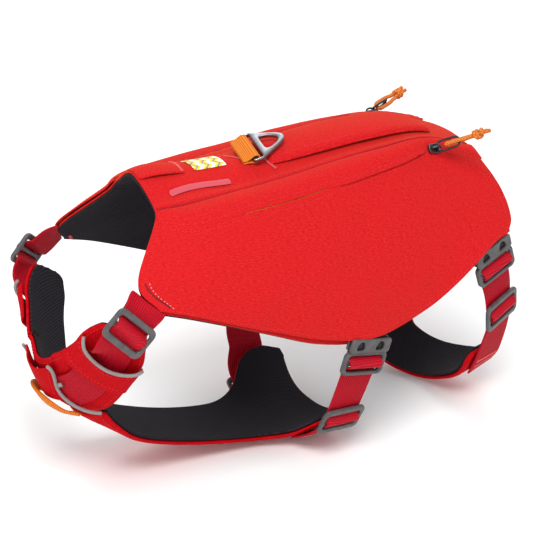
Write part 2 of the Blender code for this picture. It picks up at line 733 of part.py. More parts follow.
def build_leash_ring(parts, cutters):
    forward = unit(RING_REACH - RING_BAR * np.dot(RING_REACH, RING_BAR))
    frame = placed(RING_PIVOT, forward, RING_BAR)
    ring = new_object("leash_ring", prism("leash_ring", RING_OUTLINE, RING_WALL), "metal", parts)
    ring.matrix_world = frame
    depth = RING_SLOT - BAR_WIDTH / 2
    slot = block("leash_ring_slot", (depth, SLOT_WIDTH, 9), (BAR_WIDTH / 2 + depth / 2, 0, 0))
    cut(ring, slot, cutters)
    cut(ring, prism("leash_ring_eye", RING_EYE, 9), cutters)
    bevel(ring, 0.7)

    profile = [(-8.0, 0.15), (-4.0, 1.0)]
    profile += [(FOLD_RADIUS * cos(radians(turn)), FOLD_RADIUS * sin(radians(turn)))
                for turn in range(112, -113, -28)]
    profile += [(-4.0, -1.0), (-8.0, -0.15)]
    last = len(profile) - 1
    up = np.cross(forward, RING_BAR)

    def fold(a, b):
        x, z = profile[round(a * last)]
        return RING_PIVOT + forward * x + up * z + RING_BAR * WEB_WIDTH * (b - 0.5)

    sheet("ring_webbing", fold, (last, 1), WEB_WALL, "orange_web", parts)


# ---- zip pulls --------------------------------------------------------------------------------
SLIDER_U = 0.85
PULL_REST = {"left": 57.0, "right": 25.0}       # each stands this far off the saddle, degrees
WIRE_LOOP = (       # along the pull, across it
    (0.0, -2.3), (0.0, 2.3), (1.4, 3.4), (12.0, 3.4), (14.3, 2.3), (15.2, 0.0),
    (14.3, -2.3), (12.0, -3.4), (1.4, -3.4))
CORD_HALF = (       # along the pull, above it; the other strand is its mirror image
    (5.4, 0.0), (6.0, 1.5), (7.6, 2.4), (15.5, 2.5), (19.0, 2.2), (22.0, 1.65), (24.8, 1.6))
KNOT_REACH, KNOT_RADIUS = 29.3, 4.0
TAIL_ENDS = ((36.5, 2.6), (37.5, -0.6))


def build_zip_pull(side, word, parts, cutters):
    lift = pocket_lift(SLIDER_U, ZIP_V) + SHELL_WALL + 3 * GAP
    foot = on_saddle(SLIDER_U, -ZIP_V, lift)
    out = out_of(saddle_point, SLIDER_U, -ZIP_V, 1)
    run = unit(on_saddle(SLIDER_U + 0.01, -ZIP_V) - on_saddle(SLIDER_U - 0.01, -ZIP_V))
    flip = np.array((1.0, -side, 1.0))
    slider = new_object("zip_slider_" + word, block(
        "zip_slider_" + word, (SLIDER_LONG, SLIDER_WIDE, SLIDER_TALL), (0, 0, SLIDER_TALL / 2)),
        "metal", parts)
    foot, out, run = foot * flip, out * flip, run * flip
    across = np.cross(out, run)
    slider.matrix_world = placed(foot, run, across)
    shoulder = (SLIDER_WIDE - 2.2) / 2
    for end in (-1, 1):
        cut(slider, block("zip_slider_side", (SLIDER_LONG * 2, shoulder, SLIDER_TALL), (
            0, end * (SLIDER_WIDE - shoulder + 0.02) / 2, SLIDER_BASE + SLIDER_TALL / 2)), cutters)
    cut(slider, block("zip_slider_bail", (2.4, SLIDER_WIDE, 2.4), (2.0, 0, PIVOT_HEIGHT)),
        cutters)

    pivot = foot + out * PIVOT_HEIGHT + run * 2.0
    rest = radians(PULL_REST[word])
    forward = run * cos(rest) + out * sin(rest)
    frame = placed(pivot, forward, across)
    wire = tube("zip_pull_" + word, [(x, y, 0) for x, y in WIRE_LOOP], WIRE_RADIUS, "metal",
                parts, closed=True)
    strand = [(x, 0, z) for x, z in CORD_HALF]
    cord = tube("pull_cord_" + word, [(x, y, -z) for x, y, z in reversed(strand[1:])] + strand,
                CORD_RADIUS, "orange_cord", parts)
    knot = new_object("pull_knot_" + word, knot_mesh(word), "orange_cord", parts)
    for x, z in TAIL_ENDS:
        add_tail(knot, (x, z), frame, cutters)
    for piece in (wire, cord, knot):
        piece.matrix_world = frame


def knot_mesh(word):
    mesh = bpy.data.meshes.new("pull_knot_" + word)
    ball = bmesh.new()
    bmesh.ops.create_uvsphere(ball, u_segments=12, v_segments=8, radius=KNOT_RADIUS * MM)
    for vertex in ball.verts:
        vertex.co.x += KNOT_REACH * MM
    ball.to_mesh(mesh)
    ball.free()
    return mesh


def add_tail(knot, end, frame, cutters):
    tail = tube(knot.name + "_tail", [(KNOT_REACH, 0, end[1] * 0.4), (end[0], 0, end[1])],
                CORD_RADIUS, "orange_cord", cutters)
    body = bpy.data.meshes.new_from_object(tail)
    bpy.data.objects.remove(tail, do_unlink=True)
    helper = bpy.data.objects.new(knot.name + "_tail", body)
    cutters.objects.link(helper)
    helper.hide_render = True
    helper.display_type = "WIRE"
    helper.matrix_world = frame
    join = knot.modifiers.new("tail", "BOOLEAN")
    join.operation = "UNION"
    join.object = helper


def main():
    clear_scene()
    parts = bpy.data.collections.new("dog_harness")
    cutters = bpy.data.collections.new("cutters")
    bpy.context.scene.collection.children.link(parts)
    bpy.context.scene.collection.children.link(cutters)
    build_saddle(parts)
    for side, word in ((LEFT, "left"), (RIGHT, "right")):
        build_pocket(side, word, parts)
        build_zip_pull(side, word, parts, cutters)
        build_straps(side, word, parts, cutters)
    build_yoke(parts)
    build_leash_ring(parts, cutters)
    build_pads(parts)
    build_chest_cover(parts)
    for piece in list(parts.objects) + list(cutters.objects):
        piece.location.z += TABLE_DROP * MM


main()
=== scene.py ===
# Looks of a small pack-style dog harness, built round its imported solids.
# Tables are in millimetres with Z counted from 9 mm above the frame's origin; meshes are in metres.
from math import cos, pi, radians, sin

import bmesh
import bpy
import numpy as np
from mathutils import Matrix, Vector


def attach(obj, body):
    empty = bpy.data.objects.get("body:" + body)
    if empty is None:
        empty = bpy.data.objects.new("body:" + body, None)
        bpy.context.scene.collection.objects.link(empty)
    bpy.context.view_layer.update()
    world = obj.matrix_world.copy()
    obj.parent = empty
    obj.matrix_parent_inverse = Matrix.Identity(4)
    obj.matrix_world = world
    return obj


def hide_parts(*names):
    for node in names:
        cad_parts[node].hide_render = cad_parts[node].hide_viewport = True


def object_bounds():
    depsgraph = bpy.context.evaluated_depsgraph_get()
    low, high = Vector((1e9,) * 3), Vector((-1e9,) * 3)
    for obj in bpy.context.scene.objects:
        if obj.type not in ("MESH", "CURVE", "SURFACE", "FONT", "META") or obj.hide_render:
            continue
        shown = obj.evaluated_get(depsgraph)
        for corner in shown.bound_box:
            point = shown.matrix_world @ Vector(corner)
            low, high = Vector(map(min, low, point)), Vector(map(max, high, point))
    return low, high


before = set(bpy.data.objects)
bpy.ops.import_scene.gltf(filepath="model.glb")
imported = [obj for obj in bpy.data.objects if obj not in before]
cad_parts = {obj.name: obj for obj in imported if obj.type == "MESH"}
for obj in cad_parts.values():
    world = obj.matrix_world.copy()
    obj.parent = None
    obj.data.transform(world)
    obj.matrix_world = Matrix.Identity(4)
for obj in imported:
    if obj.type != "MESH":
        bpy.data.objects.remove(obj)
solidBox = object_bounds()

mm = 0.001
tableDrop = 9.0
gap = 0.3
sides = ((-1.0, "left"), (1.0, "right"))


# small maths, on arrays of points
def unit(vectors):
    return vectors / np.linalg.norm(vectors, axis=-1, keepdims=True)


def curveWeights(knots, t):
    # weights of the knots' values in a smooth curve through them, one row per t
    knots, t = np.asarray(knots, float), np.atleast_1d(np.asarray(t, float))
    last, n = len(knots) - 1, np.arange(len(t))
    i = np.clip(np.searchsorted(knots, t, side="right") - 1, 0, last - 1)
    step = knots[i + 1] - knots[i]
    s = (t - knots[i]) / step
    weights = np.zeros((len(t), last + 1))
    weights[n, i] += 2 * s**3 - 3 * s**2 + 1
    weights[n, i + 1] += 3 * s**2 - 2 * s**3
    for k, share in ((i, s**3 - 2 * s**2 + s), (i + 1, s**3 - s**2)):
        low, high = np.maximum(k - 1, 0), np.minimum(k + 1, last)
        slope = share * step / (knots[high] - knots[low])
        weights[n, high] += slope
        weights[n, low] -= slope
    return weights


def along(rows, t):
    rows = np.asarray(rows, float)
    return curveWeights(np.linspace(0, 1, len(rows)), t) @ rows


def smoothPath(points, count):
    return along(points, np.linspace(0, 1, count))


def smoothLoop(points, each=6):
    # closed outline through the points, with rounded corners
    points = np.asarray(points, float)
    near = [np.roll(points, shift, axis=0) for shift in (1, 0, -1, -2)]
    loop = []
    for k in range(len(points)):
        a, b, c, d = (row[k] for row in near)
        for s in np.arange(each) / each:
            loop.append(0.5 * (2 * b + (c - a) * s + (2 * a - 5 * b + 4 * c - d) * s**2
                               + (3 * b - a - 3 * c + d) * s**3))
    return np.array(loop)


def outOf(surface, a, b, turn):
    step = 0.01
    run = surface(np.minimum(a + step, 1), b) - surface(np.maximum(a - step, 0), b)
    across = surface(a, np.minimum(b + step, 1)) - surface(a, np.maximum(b - step, -1))
    return unit(np.cross(run, across)) * turn


def waves(points, length, seed):
    # slow uneven swell over a piece, from -1 to 1
    x, y, z = (points / length).T
    return (np.sin(x * 2.1 + seed) * np.cos(y * 1.7 - seed * 2) + np.sin(z * 2.6 + x + seed * 3)
            + 0.5 * np.sin(x * 4.3 - z * 3.1 + seed * 5)) / 2.5


def foldRelief(points, folds):
    # soft ridges and troughs along listed lines: (line of points, half width, height)
    relief = np.zeros(len(points))
    for line, width, height in folds:
        line = np.asarray(line, float)
        total = np.linalg.norm(np.diff(line, axis=0), axis=1).sum()
        nearest, place, start = np.full(len(points), 1e9), np.zeros(len(points)), 0.0
        for head, tail in zip(line[:-1], line[1:]):
            reach = tail - head
            share = np.clip((points - head) @ reach / (reach @ reach), 0, 1)
            away = np.linalg.norm(points - head - share[:, None] * reach, axis=1)
            closer = away < nearest
            nearest[closer] = away[closer]
            place[closer] = (start + share * np.linalg.norm(reach))[closer] / total
            start += np.linalg.norm(reach)
        relief += height * np.exp(-(nearest / width) ** 2) * np.sin(pi * np.clip(place, 0.04, 0.96)) ** 0.6
    return relief


# nodes and finishes
def hexColour(code):
    # sRGB hex to the linear colour that nodes take
    parts = [int(code[k:k + 2], 16) / 255 for k in (1, 3, 5)]
    return (*[c / 12.92 if c <= 0.04045 else ((c + 0.055) / 1.055) ** 2.4 for c in parts], 1.0)


def linkUp(tree, node, links):
    # a link comes from a socket, or from a node's first working output
    for key, source in links.items():
        if isinstance(source, bpy.types.Node):
            source = next(socket for socket in source.outputs if socket.enabled)
        tree.links.new(source, node.inputs[key])


def addNode(tree, kind, settings=None, links=None):
    node = tree.nodes.new(kind)
    for key, value in (settings or {}).items():
        if isinstance(key, str) and hasattr(node, key):
            setattr(node, key, value)
        else:
            node.inputs[key].default_value = value
    linkUp(tree, node, links or {})
    return node


def newFinish(name, settings):
    finish = bpy.data.materials.new(name)
    finish.use_nodes = True
    shader = finish.node_tree.nodes["Principled BSDF"]
    for key, value in settings.items():
        shader.inputs[key].default_value = value
    return finish, finish.node_tree, shader


waveScale = 0.3142      # a wave texture's scale is this over its period


def wovenFinish(name, look):
    # plain woven nylon, matt: warp and weft cross in a fine grain, and yarn that took the dye
    # unevenly gives short flecks along the cloth; the low spots between crossings are painted darker as shade
    finish, tree, shader = newFinish(name, {
        "Roughness": look["rough"], "Sheen Weight": look["sheen"], "Sheen Roughness": 0.45,
        "Sheen Tint": hexColour(look["nap"]), "Specular IOR Level": look["gloss"]})
    place = addNode(tree, "ShaderNodeTexCoord").outputs["UV"]
    warp = addNode(tree, "ShaderNodeTexWave", {
        "bands_direction": "X", "Scale": waveScale / look["yarn"], "Distortion": 0.6, "Detail": 1.0}, {"Vector": place})
    weft = addNode(tree, "ShaderNodeTexWave", {
        "bands_direction": "Y", "Scale": waveScale / look["yarn"], "Distortion": 0.6, "Detail": 1.0}, {"Vector": place})
    crossings = addNode(tree, "ShaderNodeMath", {"operation": "MULTIPLY"}, {0: warp, 1: weft})
    drawn = addNode(tree, "ShaderNodeMapping", {"Scale": look["draw"]}, {"Vector": place})
    fleck = addNode(tree, "ShaderNodeTexNoise", {
        "Scale": look["fleck"], "Detail": 3.0, "Roughness": 0.65}, {"Vector": drawn})
    cloud = addNode(tree, "ShaderNodeTexNoise", {"Scale": 0.045, "Detail": 2.0}, {"Vector": place})
    dyed = addNode(tree, "ShaderNodeMapRange", {"From Min": 0.34, "From Max": 0.68}, {"Value": fleck})
    faded = addNode(tree, "ShaderNodeMapRange", {"From Min": 0.3, "From Max": 0.8, "To Max": 0.6}, {"Value": cloud})
    yarns = addNode(tree, "ShaderNodeMix", {
        "data_type": "RGBA", 6: hexColour(look["deep"]), 7: hexColour(look["light"])}, {0: dyed})
    colour = addNode(tree, "ShaderNodeMix", {"data_type": "RGBA", 7: hexColour(look["cloud"])}, {0: faded, 6: yarns})
    # painted shade: where the crossing yarns dip, the colour is darkened towards a shade colour
    depth = addNode(tree, "ShaderNodeMapRange", {"To Min": look["shade"], "To Max": 0.0}, {"Value": crossings})
    shaded = addNode(tree, "ShaderNodeMix", {
        "data_type": "RGBA", 7: hexColour(look["grooveShade"])}, {0: depth, 6: colour})
    height = addNode(tree, "ShaderNodeMath", {"operation": "ADD"}, {0: crossings, 1: fleck})
    relief = addNode(tree, "ShaderNodeBump", {"Strength": look["bump"], "Distance": look["depth"] * mm}, {"Height": height})
    linkUp(tree, shader, {"Base Color": shaded, "Normal": relief})
    return finish


def webFinish(name, look):
    # polyester webbing, slightly glossy yarn: cords run along it and fine picks cross them; the low parts between them
    # are painted darker as shade
    finish, tree, shader = newFinish(name, {
        "Roughness": 0.62, "Sheen Weight": 0.02, "Sheen Roughness": 0.4,
        "Sheen Tint": hexColour(look["light"]), "Specular IOR Level": look["gloss"]})
    place = addNode(tree, "ShaderNodeTexCoord").outputs["UV"]
    cords = addNode(tree, "ShaderNodeTexWave", {
        "bands_direction": look["cordWay"], "Scale": waveScale / look["cord"]}, {"Vector": place})
    picks = addNode(tree, "ShaderNodeTexWave", {
        "bands_direction": look["pickWay"], "Scale": waveScale / look["pick"], "Distortion": 0.3}, {"Vector": place})
    deepCords = addNode(tree, "ShaderNodeMath", {"operation": "MULTIPLY", 1: look["cordShare"]}, {0: cords})
    height = addNode(tree, "ShaderNodeMath", {
        "operation": "MULTIPLY_ADD", 1: 1 - look["cordShare"]}, {0: picks, 2: deepCords})
    fleck = addNode(tree, "ShaderNodeTexNoise", {"Scale": 1.2, "Detail": 2.0}, {"Vector": place})
    worn = addNode(tree, "ShaderNodeMapRange", {"From Min": 0.35, "From Max": 0.8, "To Max": 0.5}, {"Value": fleck})
    # painted shade: the colour follows the weave's height, darker in the low parts between cords and picks
    raised = addNode(tree, "ShaderNodeMapRange", {"From Min": 0.1, "From Max": 0.8}, {"Value": height})
    yarns = addNode(tree, "ShaderNodeMix", {
        "data_type": "RGBA", 6: hexColour(look["deep"]), 7: hexColour(look["light"])}, {0: raised})
    colour = addNode(tree, "ShaderNodeMix", {"data_type": "RGBA", 7: hexColour(look["deep"])}, {0: worn, 6: yarns})
    relief = addNode(tree, "ShaderNodeBump", {"Strength": 0.6, "Distance": look["depth"] * mm}, {"Height": height})
    linkUp(tree, shader, {"Base Color": colour, "Normal": relief})
    return finish


packCloth = wovenFinish("heathered pack cloth", {
    "deep": "#B80D1A", "light": "#DF2B29", "cloud": "#D01D24", "grooveShade": "#8E0710", "nap": "#FF7444", "shade": 0.30,
    "yarn": 0.9, "fleck": 0.85, "draw": (0.45, 1.6, 1.0), "rough": 0.85, "sheen": 0.5, "gloss": 0.06,
    "bump": 0.4, "depth": 0.3})
chestCloth = wovenFinish("nylon taffeta", {
    "deep": "#A8010C", "light": "#D20A16", "cloud": "#BC0410", "grooveShade": "#780209", "nap": "#F0404A", "shade": 0.25,
    "yarn": 0.8, "fleck": 0.6, "draw": (1.0, 1.0, 1.0), "rough": 0.75, "sheen": 0.03, "gloss": 0.06,
    "bump": 0.25, "depth": 0.2})
redWeb = webFinish("polyester webbing", {
    "deep": "#94061A", "light": "#BE0C22", "cord": 1.6, "pick": 0.6, "cordWay": "Y", "pickWay": "X",
    "cordShare": 0.93, "depth": 0.45, "gloss": 0.1})
crossWeb = webFinish("polyester webbing, bent over a bar", {
    "deep": "#90061A", "light": "#CC1026", "cord": 1.4, "pick": 1.75, "cordWay": "X", "pickWay": "Y",
    "cordShare": 0.6, "depth": 0.7, "gloss": 0.14})
orangeWeb = webFinish("tubular nylon webbing", {
    "deep": "#B8560E", "light": "#EC8E2C", "cord": 1.3, "pick": 0.8, "cordWay": "X", "pickWay": "Y",
    "cordShare": 0.75, "depth": 0.55, "gloss": 0.15})


def liningFinish():
    # knitted polyester spacer fabric: raised wales run slantwise over a charcoal ground, which is painted darker as
    # shade
    finish, tree, shader = newFinish("spacer knit", {
        "Roughness": 0.9, "Sheen Weight": 0.1, "Sheen Roughness": 0.6, "Sheen Tint": hexColour("#6A6870"),
        "Specular IOR Level": 0.12})
    place = addNode(tree, "ShaderNodeTexCoord").outputs["UV"]
    turned = addNode(tree, "ShaderNodeMapping", {"Rotation": (0, 0, radians(52))}, {"Vector": place})
    wales = addNode(tree, "ShaderNodeTexWave", {
        "bands_direction": "X", "Scale": waveScale / 1.5, "Distortion": 0.5, "Detail": 1.0}, {"Vector": turned})
    loops = addNode(tree, "ShaderNodeTexWave", {
        "bands_direction": "Y", "Scale": waveScale / 1.0, "Distortion": 0.3}, {"Vector": turned})
    height = addNode(tree, "ShaderNodeMath", {"operation": "MULTIPLY_ADD", 1: 0.3}, {0: loops, 2: wales})
    # painted shade: the colour follows the knit's height, darker in the low ground between the wales
    raised = addNode(tree, "ShaderNodeMapRange", {"From Min": 0.2, "From Max": 1.2}, {"Value": height})
    colour = addNode(tree, "ShaderNodeMix", {
        "data_type": "RGBA", 6: hexColour("#1A181B"), 7: hexColour("#2D2A2F")}, {0: raised})
    relief = addNode(tree, "ShaderNodeBump", {"Strength": 0.45, "Distance": 0.4 * mm}, {"Height": height})
    linkUp(tree, shader, {"Base Color": colour, "Normal": relief})
    return finish


def beadedFinish(name, deep, light, rough, grain=1500.0):
    # fine grains in a binder, such as glass beads in reflective tape or the filaments of a yarn
    finish, tree, shader = newFinish(name, {"Roughness": rough, "Specular IOR Level": 0.35})
    place = addNode(tree, "ShaderNodeTexCoord").outputs["Object"]
    beads = addNode(tree, "ShaderNodeTexNoise", {"Scale": grain, "Detail": 2.0}, {"Vector": place})
    colour = addNode(tree, "ShaderNodeMix", {
        "data_type": "RGBA", 6: hexColour(deep), 7: hexColour(light)}, {0: beads})
    relief = addNode(tree, "ShaderNodeBump", {"Strength": 0.25, "Distance": 0.1 * mm}, {"Height": beads})
    linkUp(tree, shader, {"Base Color": colour, "Normal": relief})
    return finish


def plasticFinish(name, deep, light, rough):
    # injection-moulded acetal: satin with a fine spark-eroded grain, paler where hands rub it
    finish, tree, shader = newFinish(name, {"Roughness": rough, "IOR": 1.48})
    place = addNode(tree, "ShaderNodeTexCoord").outputs["Object"]
    grain = addNode(tree, "ShaderNodeTexNoise", {"Scale": 2400.0, "Detail": 2.0}, {"Vector": place})
    rubbed = addNode(tree, "ShaderNodeTexNoise", {"Scale": 190.0, "Detail": 3.0}, {"Vector": place})
    share = addNode(tree, "ShaderNodeMapRange", {"From Min": 0.38, "From Max": 0.68}, {"Value": rubbed})
    colour = addNode(tree, "ShaderNodeMix", {
        "data_type": "RGBA", 6: hexColour(deep), 7: hexColour(light)}, {0: share})
    shine = addNode(tree, "ShaderNodeMapRange", {"To Min": rough + 0.08, "To Max": rough - 0.08}, {"Value": rubbed})
    relief = addNode(tree, "ShaderNodeBump", {"Strength": 0.15, "Distance": 0.08 * mm}, {"Height": grain})
    linkUp(tree, shader, {"Base Color": colour, "Roughness": shine, "Normal": relief})
    return finish


def metalFinish(name, deep, light, rough, stretch):
    # polished alloy: fine belt lines one way, and its grey varying a little in random patches
    finish, tree, shader = newFinish(name, {"Roughness": rough, "Metallic": 1.0})
    place = addNode(tree, "ShaderNodeTexCoord").outputs["Object"]
    drawn = addNode(tree, "ShaderNodeMapping", {"Scale": stretch}, {"Vector": place})
    lines = addNode(tree, "ShaderNodeTexNoise", {"Scale": 900.0, "Detail": 3.0, "Roughness": 0.6}, {"Vector": drawn})
    wear = addNode(tree, "ShaderNodeTexNoise", {"Scale": 160.0, "Detail": 2.0}, {"Vector": place})
    colour = addNode(tree, "ShaderNodeMix", {
        "data_type": "RGBA", 6: hexColour(deep), 7: hexColour(light)}, {0: wear})
    shine = addNode(tree, "ShaderNodeMapRange", {"To Min": rough - 0.08, "To Max": rough + 0.12}, {"Value": lines})
    relief = addNode(tree, "ShaderNodeBump", {"Strength": 0.1, "Distance": 0.05 * mm}, {"Height": lines})
    linkUp(tree, shader, {"Base Color": colour, "Roughness": shine, "Normal": relief})
    return finish


def cordFinish():
    # braided polyester cord: strands cross at a slant, painted darker as shade where they dip, and a few grey tracers
    # show among them
    finish, tree, shader = newFinish("braided polyester cord", {
        "Roughness": 0.65, "Sheen Weight": 0.1, "Sheen Tint": hexColour("#F6B070"), "Specular IOR Level": 0.25})
    place = addNode(tree, "ShaderNodeTexCoord").outputs["UV"]
    leftTurn = addNode(tree, "ShaderNodeMapping", {"Rotation": (0, 0, radians(35))}, {"Vector": place})
    rightTurn = addNode(tree, "ShaderNodeMapping", {"Rotation": (0, 0, radians(-35))}, {"Vector": place})
    left = addNode(tree, "ShaderNodeTexWave", {"bands_direction": "X", "Scale": waveScale / 1.6}, {"Vector": leftTurn})
    right = addNode(tree, "ShaderNodeTexWave", {"bands_direction": "X", "Scale": waveScale / 1.6}, {"Vector": rightTurn})
    braid = addNode(tree, "ShaderNodeMath", {"operation": "MAXIMUM"}, {0: left, 1: right})
    patch = addNode(tree, "ShaderNodeTexNoise", {"Scale": 0.8, "Detail": 1.0}, {"Vector": place})
    strand = addNode(tree, "ShaderNodeMapRange", {"From Min": 0.8, "From Max": 0.95}, {"Value": left})
    where = addNode(tree, "ShaderNodeMapRange", {"From Min": 0.5, "From Max": 0.62}, {"Value": patch})
    tracer = addNode(tree, "ShaderNodeMath", {"operation": "MULTIPLY"}, {0: strand, 1: where})
    # painted shade: the orange follows the braid's height, darker in the dips between strands
    orange = addNode(tree, "ShaderNodeMix", {
        "data_type": "RGBA", 6: hexColour("#9A3F08"), 7: hexColour("#E27C1E")}, {0: braid})
    colour = addNode(tree, "ShaderNodeMix", {"data_type": "RGBA", 7: hexColour("#A9A29A")}, {0: tracer, 6: orange})
    relief = addNode(tree, "ShaderNodeBump", {"Strength": 0.6, "Distance": 0.45 * mm}, {"Height": braid})
    linkUp(tree, shader, {"Base Color": colour, "Normal": relief})
    return finish


def labelFinish():
    # damask label: a plain stepped pattern of no maker, in yellow, grey and white yarn
    finish, tree, shader = newFinish("woven damask label", {"Roughness": 0.7, "Specular IOR Level": 0.2})
    place = addNode(tree, "ShaderNodeTexCoord").outputs["UV"]
    parts = addNode(tree, "ShaderNodeSeparateXYZ", {}, {"Vector": place}).outputs
    zigzag = addNode(tree, "ShaderNodeMath", {"operation": "PINGPONG", 1: 3.4}, {0: parts[1]})
    step = addNode(tree, "ShaderNodeMath", {"operation": "ADD"}, {0: parts[0], 1: zigzag})
    folded = addNode(tree, "ShaderNodeMath", {"operation": "PINGPONG", 1: 4.2}, {0: step})
    white = addNode(tree, "ShaderNodeMath", {"operation": "GREATER_THAN", 1: 2.7}, {0: folded})
    grey = addNode(tree, "ShaderNodeMath", {"operation": "LESS_THAN", 1: 0.8}, {0: folded})
    ground = addNode(tree, "ShaderNodeMix", {
        "data_type": "RGBA", 6: hexColour("#F2CE1A"), 7: hexColour("#F4F2EE")}, {0: white})
    colour = addNode(tree, "ShaderNodeMix", {"data_type": "RGBA", 7: hexColour("#8C8A88")}, {0: grey, 6: ground})
    yarn = addNode(tree, "ShaderNodeTexWave", {"bands_direction": "X", "Scale": waveScale / 0.7}, {"Vector": place})
    relief = addNode(tree, "ShaderNodeBump", {"Strength": 0.3, "Distance": 0.2 * mm}, {"Height": yarn})
    linkUp(tree, shader, {"Base Color": colour, "Normal": relief})
    return finish


lining = liningFinish()
piping = beadedFinish("reflective piping", "#6E6B69", "#94918E", 0.5)
reflectPrint = beadedFinish("reflective transfer", "#B43A48", "#CC555E", 0.45)
plastic = plasticFinish("moulded acetal", "#454344", "#545152", 0.36)
shadedPlastic = plasticFinish("moulded acetal in shade", "#121111", "#1C1B1B", 0.6)
ringMetal = metalFinish("polished cast alloy", "#77797C", "#A2A4A7", 0.3, (1.0, 6.0, 1.0))
wireMetal = metalFinish("black nickel wire", "#2E2E30", "#505052", 0.25, (1.0, 1.0, 1.0))
sliderMetal = metalFinish("gunmetal zip slider", "#3C3C40", "#66676B", 0.3, (1.0, 3.0, 1.0))
cordBraid = cordFinish()
zipNylon = beadedFinish("nylon zip coil", "#D0701A", "#F6A02C", 0.5)
# this finish is the real zip tape, and also the painted shade in the strap slits and the cord holes
zipTape = beadedFinish("woven zip tape and painted hole shade", "#5E0A10", "#7C0E16", 0.8)
seamShade = beadedFinish("shade in the yoke seam", "#7A0710", "#A30F1A", 0.9)
redThread = beadedFinish("bonded polyester thread", "#B40C1A", "#E0303A", 0.5)
tackThread = beadedFinish("bonded thread of the bar-tacks", "#C22A34", "#F07A78", 0.5)
paleThread = beadedFinish("light bonded thread", "#D88A78", "#F2D0BE", 0.5)
wovenLabel = labelFinish()
print("finishes made")


# making pieces
def toWorld(points):
    return (np.asarray(points, float) + (0.0, 0.0, tableDrop)) * mm


def newPiece(name, points, faces, look, uv=None, body="harness", slot=None, stands=()):
    mesh = bpy.data.meshes.new(name)
    mesh.from_pydata([tuple(p) for p in toWorld(points)], [], [tuple(int(k) for k in f) for f in faces])
    if uv is not None:
        layer = mesh.uv_layers.new(name="UVMap")
        corner = np.empty(len(mesh.loops), int)
        mesh.loops.foreach_get("vertex_index", corner)
        layer.data.foreach_set("uv", np.asarray(uv, float)[corner].ravel())
    mesh.polygons.foreach_set("use_smooth", [True] * len(mesh.polygons))
    mesh.materials.append(look)
    piece = bpy.data.objects.new(name, mesh)
    bpy.context.scene.collection.objects.link(piece)
    return settle(piece, body, stands)


def settle(piece, body="harness", stands=()):
    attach(piece, body)
    if stands:
        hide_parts(*stands)
    return piece


def clothGrid(place, cells):
    # points, outward directions and flat coordinates in millimetres of a grid on place(a, b)
    a, b = np.meshgrid(np.linspace(0, 1, cells[0] + 1), np.linspace(0, 1, cells[1] + 1), indexing="ij")
    points = place(a.ravel(), b.ravel()).reshape(*a.shape, 3)
    alongA, alongB = np.gradient(points, axis=0), np.gradient(points, axis=1)
    out = unit(np.cross(alongA, alongB))
    lengths = []
    for axis in (0, 1):
        steps = np.linalg.norm(np.diff(points, axis=axis), axis=2)
        steps = np.concatenate((np.zeros_like(np.take(steps, [0], axis)), steps), axis).cumsum(axis)
        lengths.append(steps - np.take(steps, [steps.shape[axis] // 2], axis))
    return points, unit(alongA), unit(alongB), out, np.stack(lengths, axis=2), a, b


def clothShell(name, place, cells, wall, look, cut=None, **ride):
    # a closed piece of cloth: place(a, b) is its inner face, the wall grows outwards and
    # the edge is rolled; wall is a thickness, or a function of a and b
    points, alongA, alongB, out, flat, a, b = clothGrid(place, cells)
    thick = wall(a, b) if callable(wall) else np.full(a.shape, float(wall))
    outer = points + out * thick[:, :, None]
    wide, long = a.shape
    rim = ([(i, 0) for i in range(wide - 1)] + [(wide - 1, j) for j in range(long - 1)]
           + [(i, long - 1) for i in range(wide - 1, 0, -1)] + [(0, j) for j in range(long - 1, 0, -1)])
    ri, rj = np.array(rim).T
    away = (alongA * ((a == 1).astype(float) - (a == 0))[:, :, None]
            + alongB * ((b == 1).astype(float) - (b == 0))[:, :, None])[ri, rj]
    away = unit(away)
    middle, half = ((points + outer) / 2)[ri, rj], thick[ri, rj][:, None] / 2
    loops = [middle + out[ri, rj] * half * sin(turn) + away * half * cos(turn)
             for turn in (radians(45), 0.0, radians(-45))]
    count, edge = wide * long, len(rim)
    index = np.arange(count).reshape(wide, long)
    quads = np.stack((index[:-1, :-1], index[1:, :-1], index[1:, 1:], index[:-1, 1:]), 2).reshape(-1, 4)
    faces = [quads, quads[:, ::-1] + count]
    rings = [index[ri, rj]] + [2 * count + k * edge + np.arange(edge) for k in range(3)] + [index[ri, rj] + count]
    for top, low in zip(rings[:-1], rings[1:]):
        faces.append(np.stack((top, low, np.roll(low, -1), np.roll(top, -1)), 1))
    allPoints = np.concatenate([outer.reshape(-1, 3), points.reshape(-1, 3)] + loops)
    rimFlat = flat[ri, rj]
    allFlat = np.concatenate([flat.reshape(-1, 2)] * 2 + [rimFlat] * 3)
    piece = newPiece(name, allPoints, np.concatenate(faces), look, allFlat, **ride)
    return piece


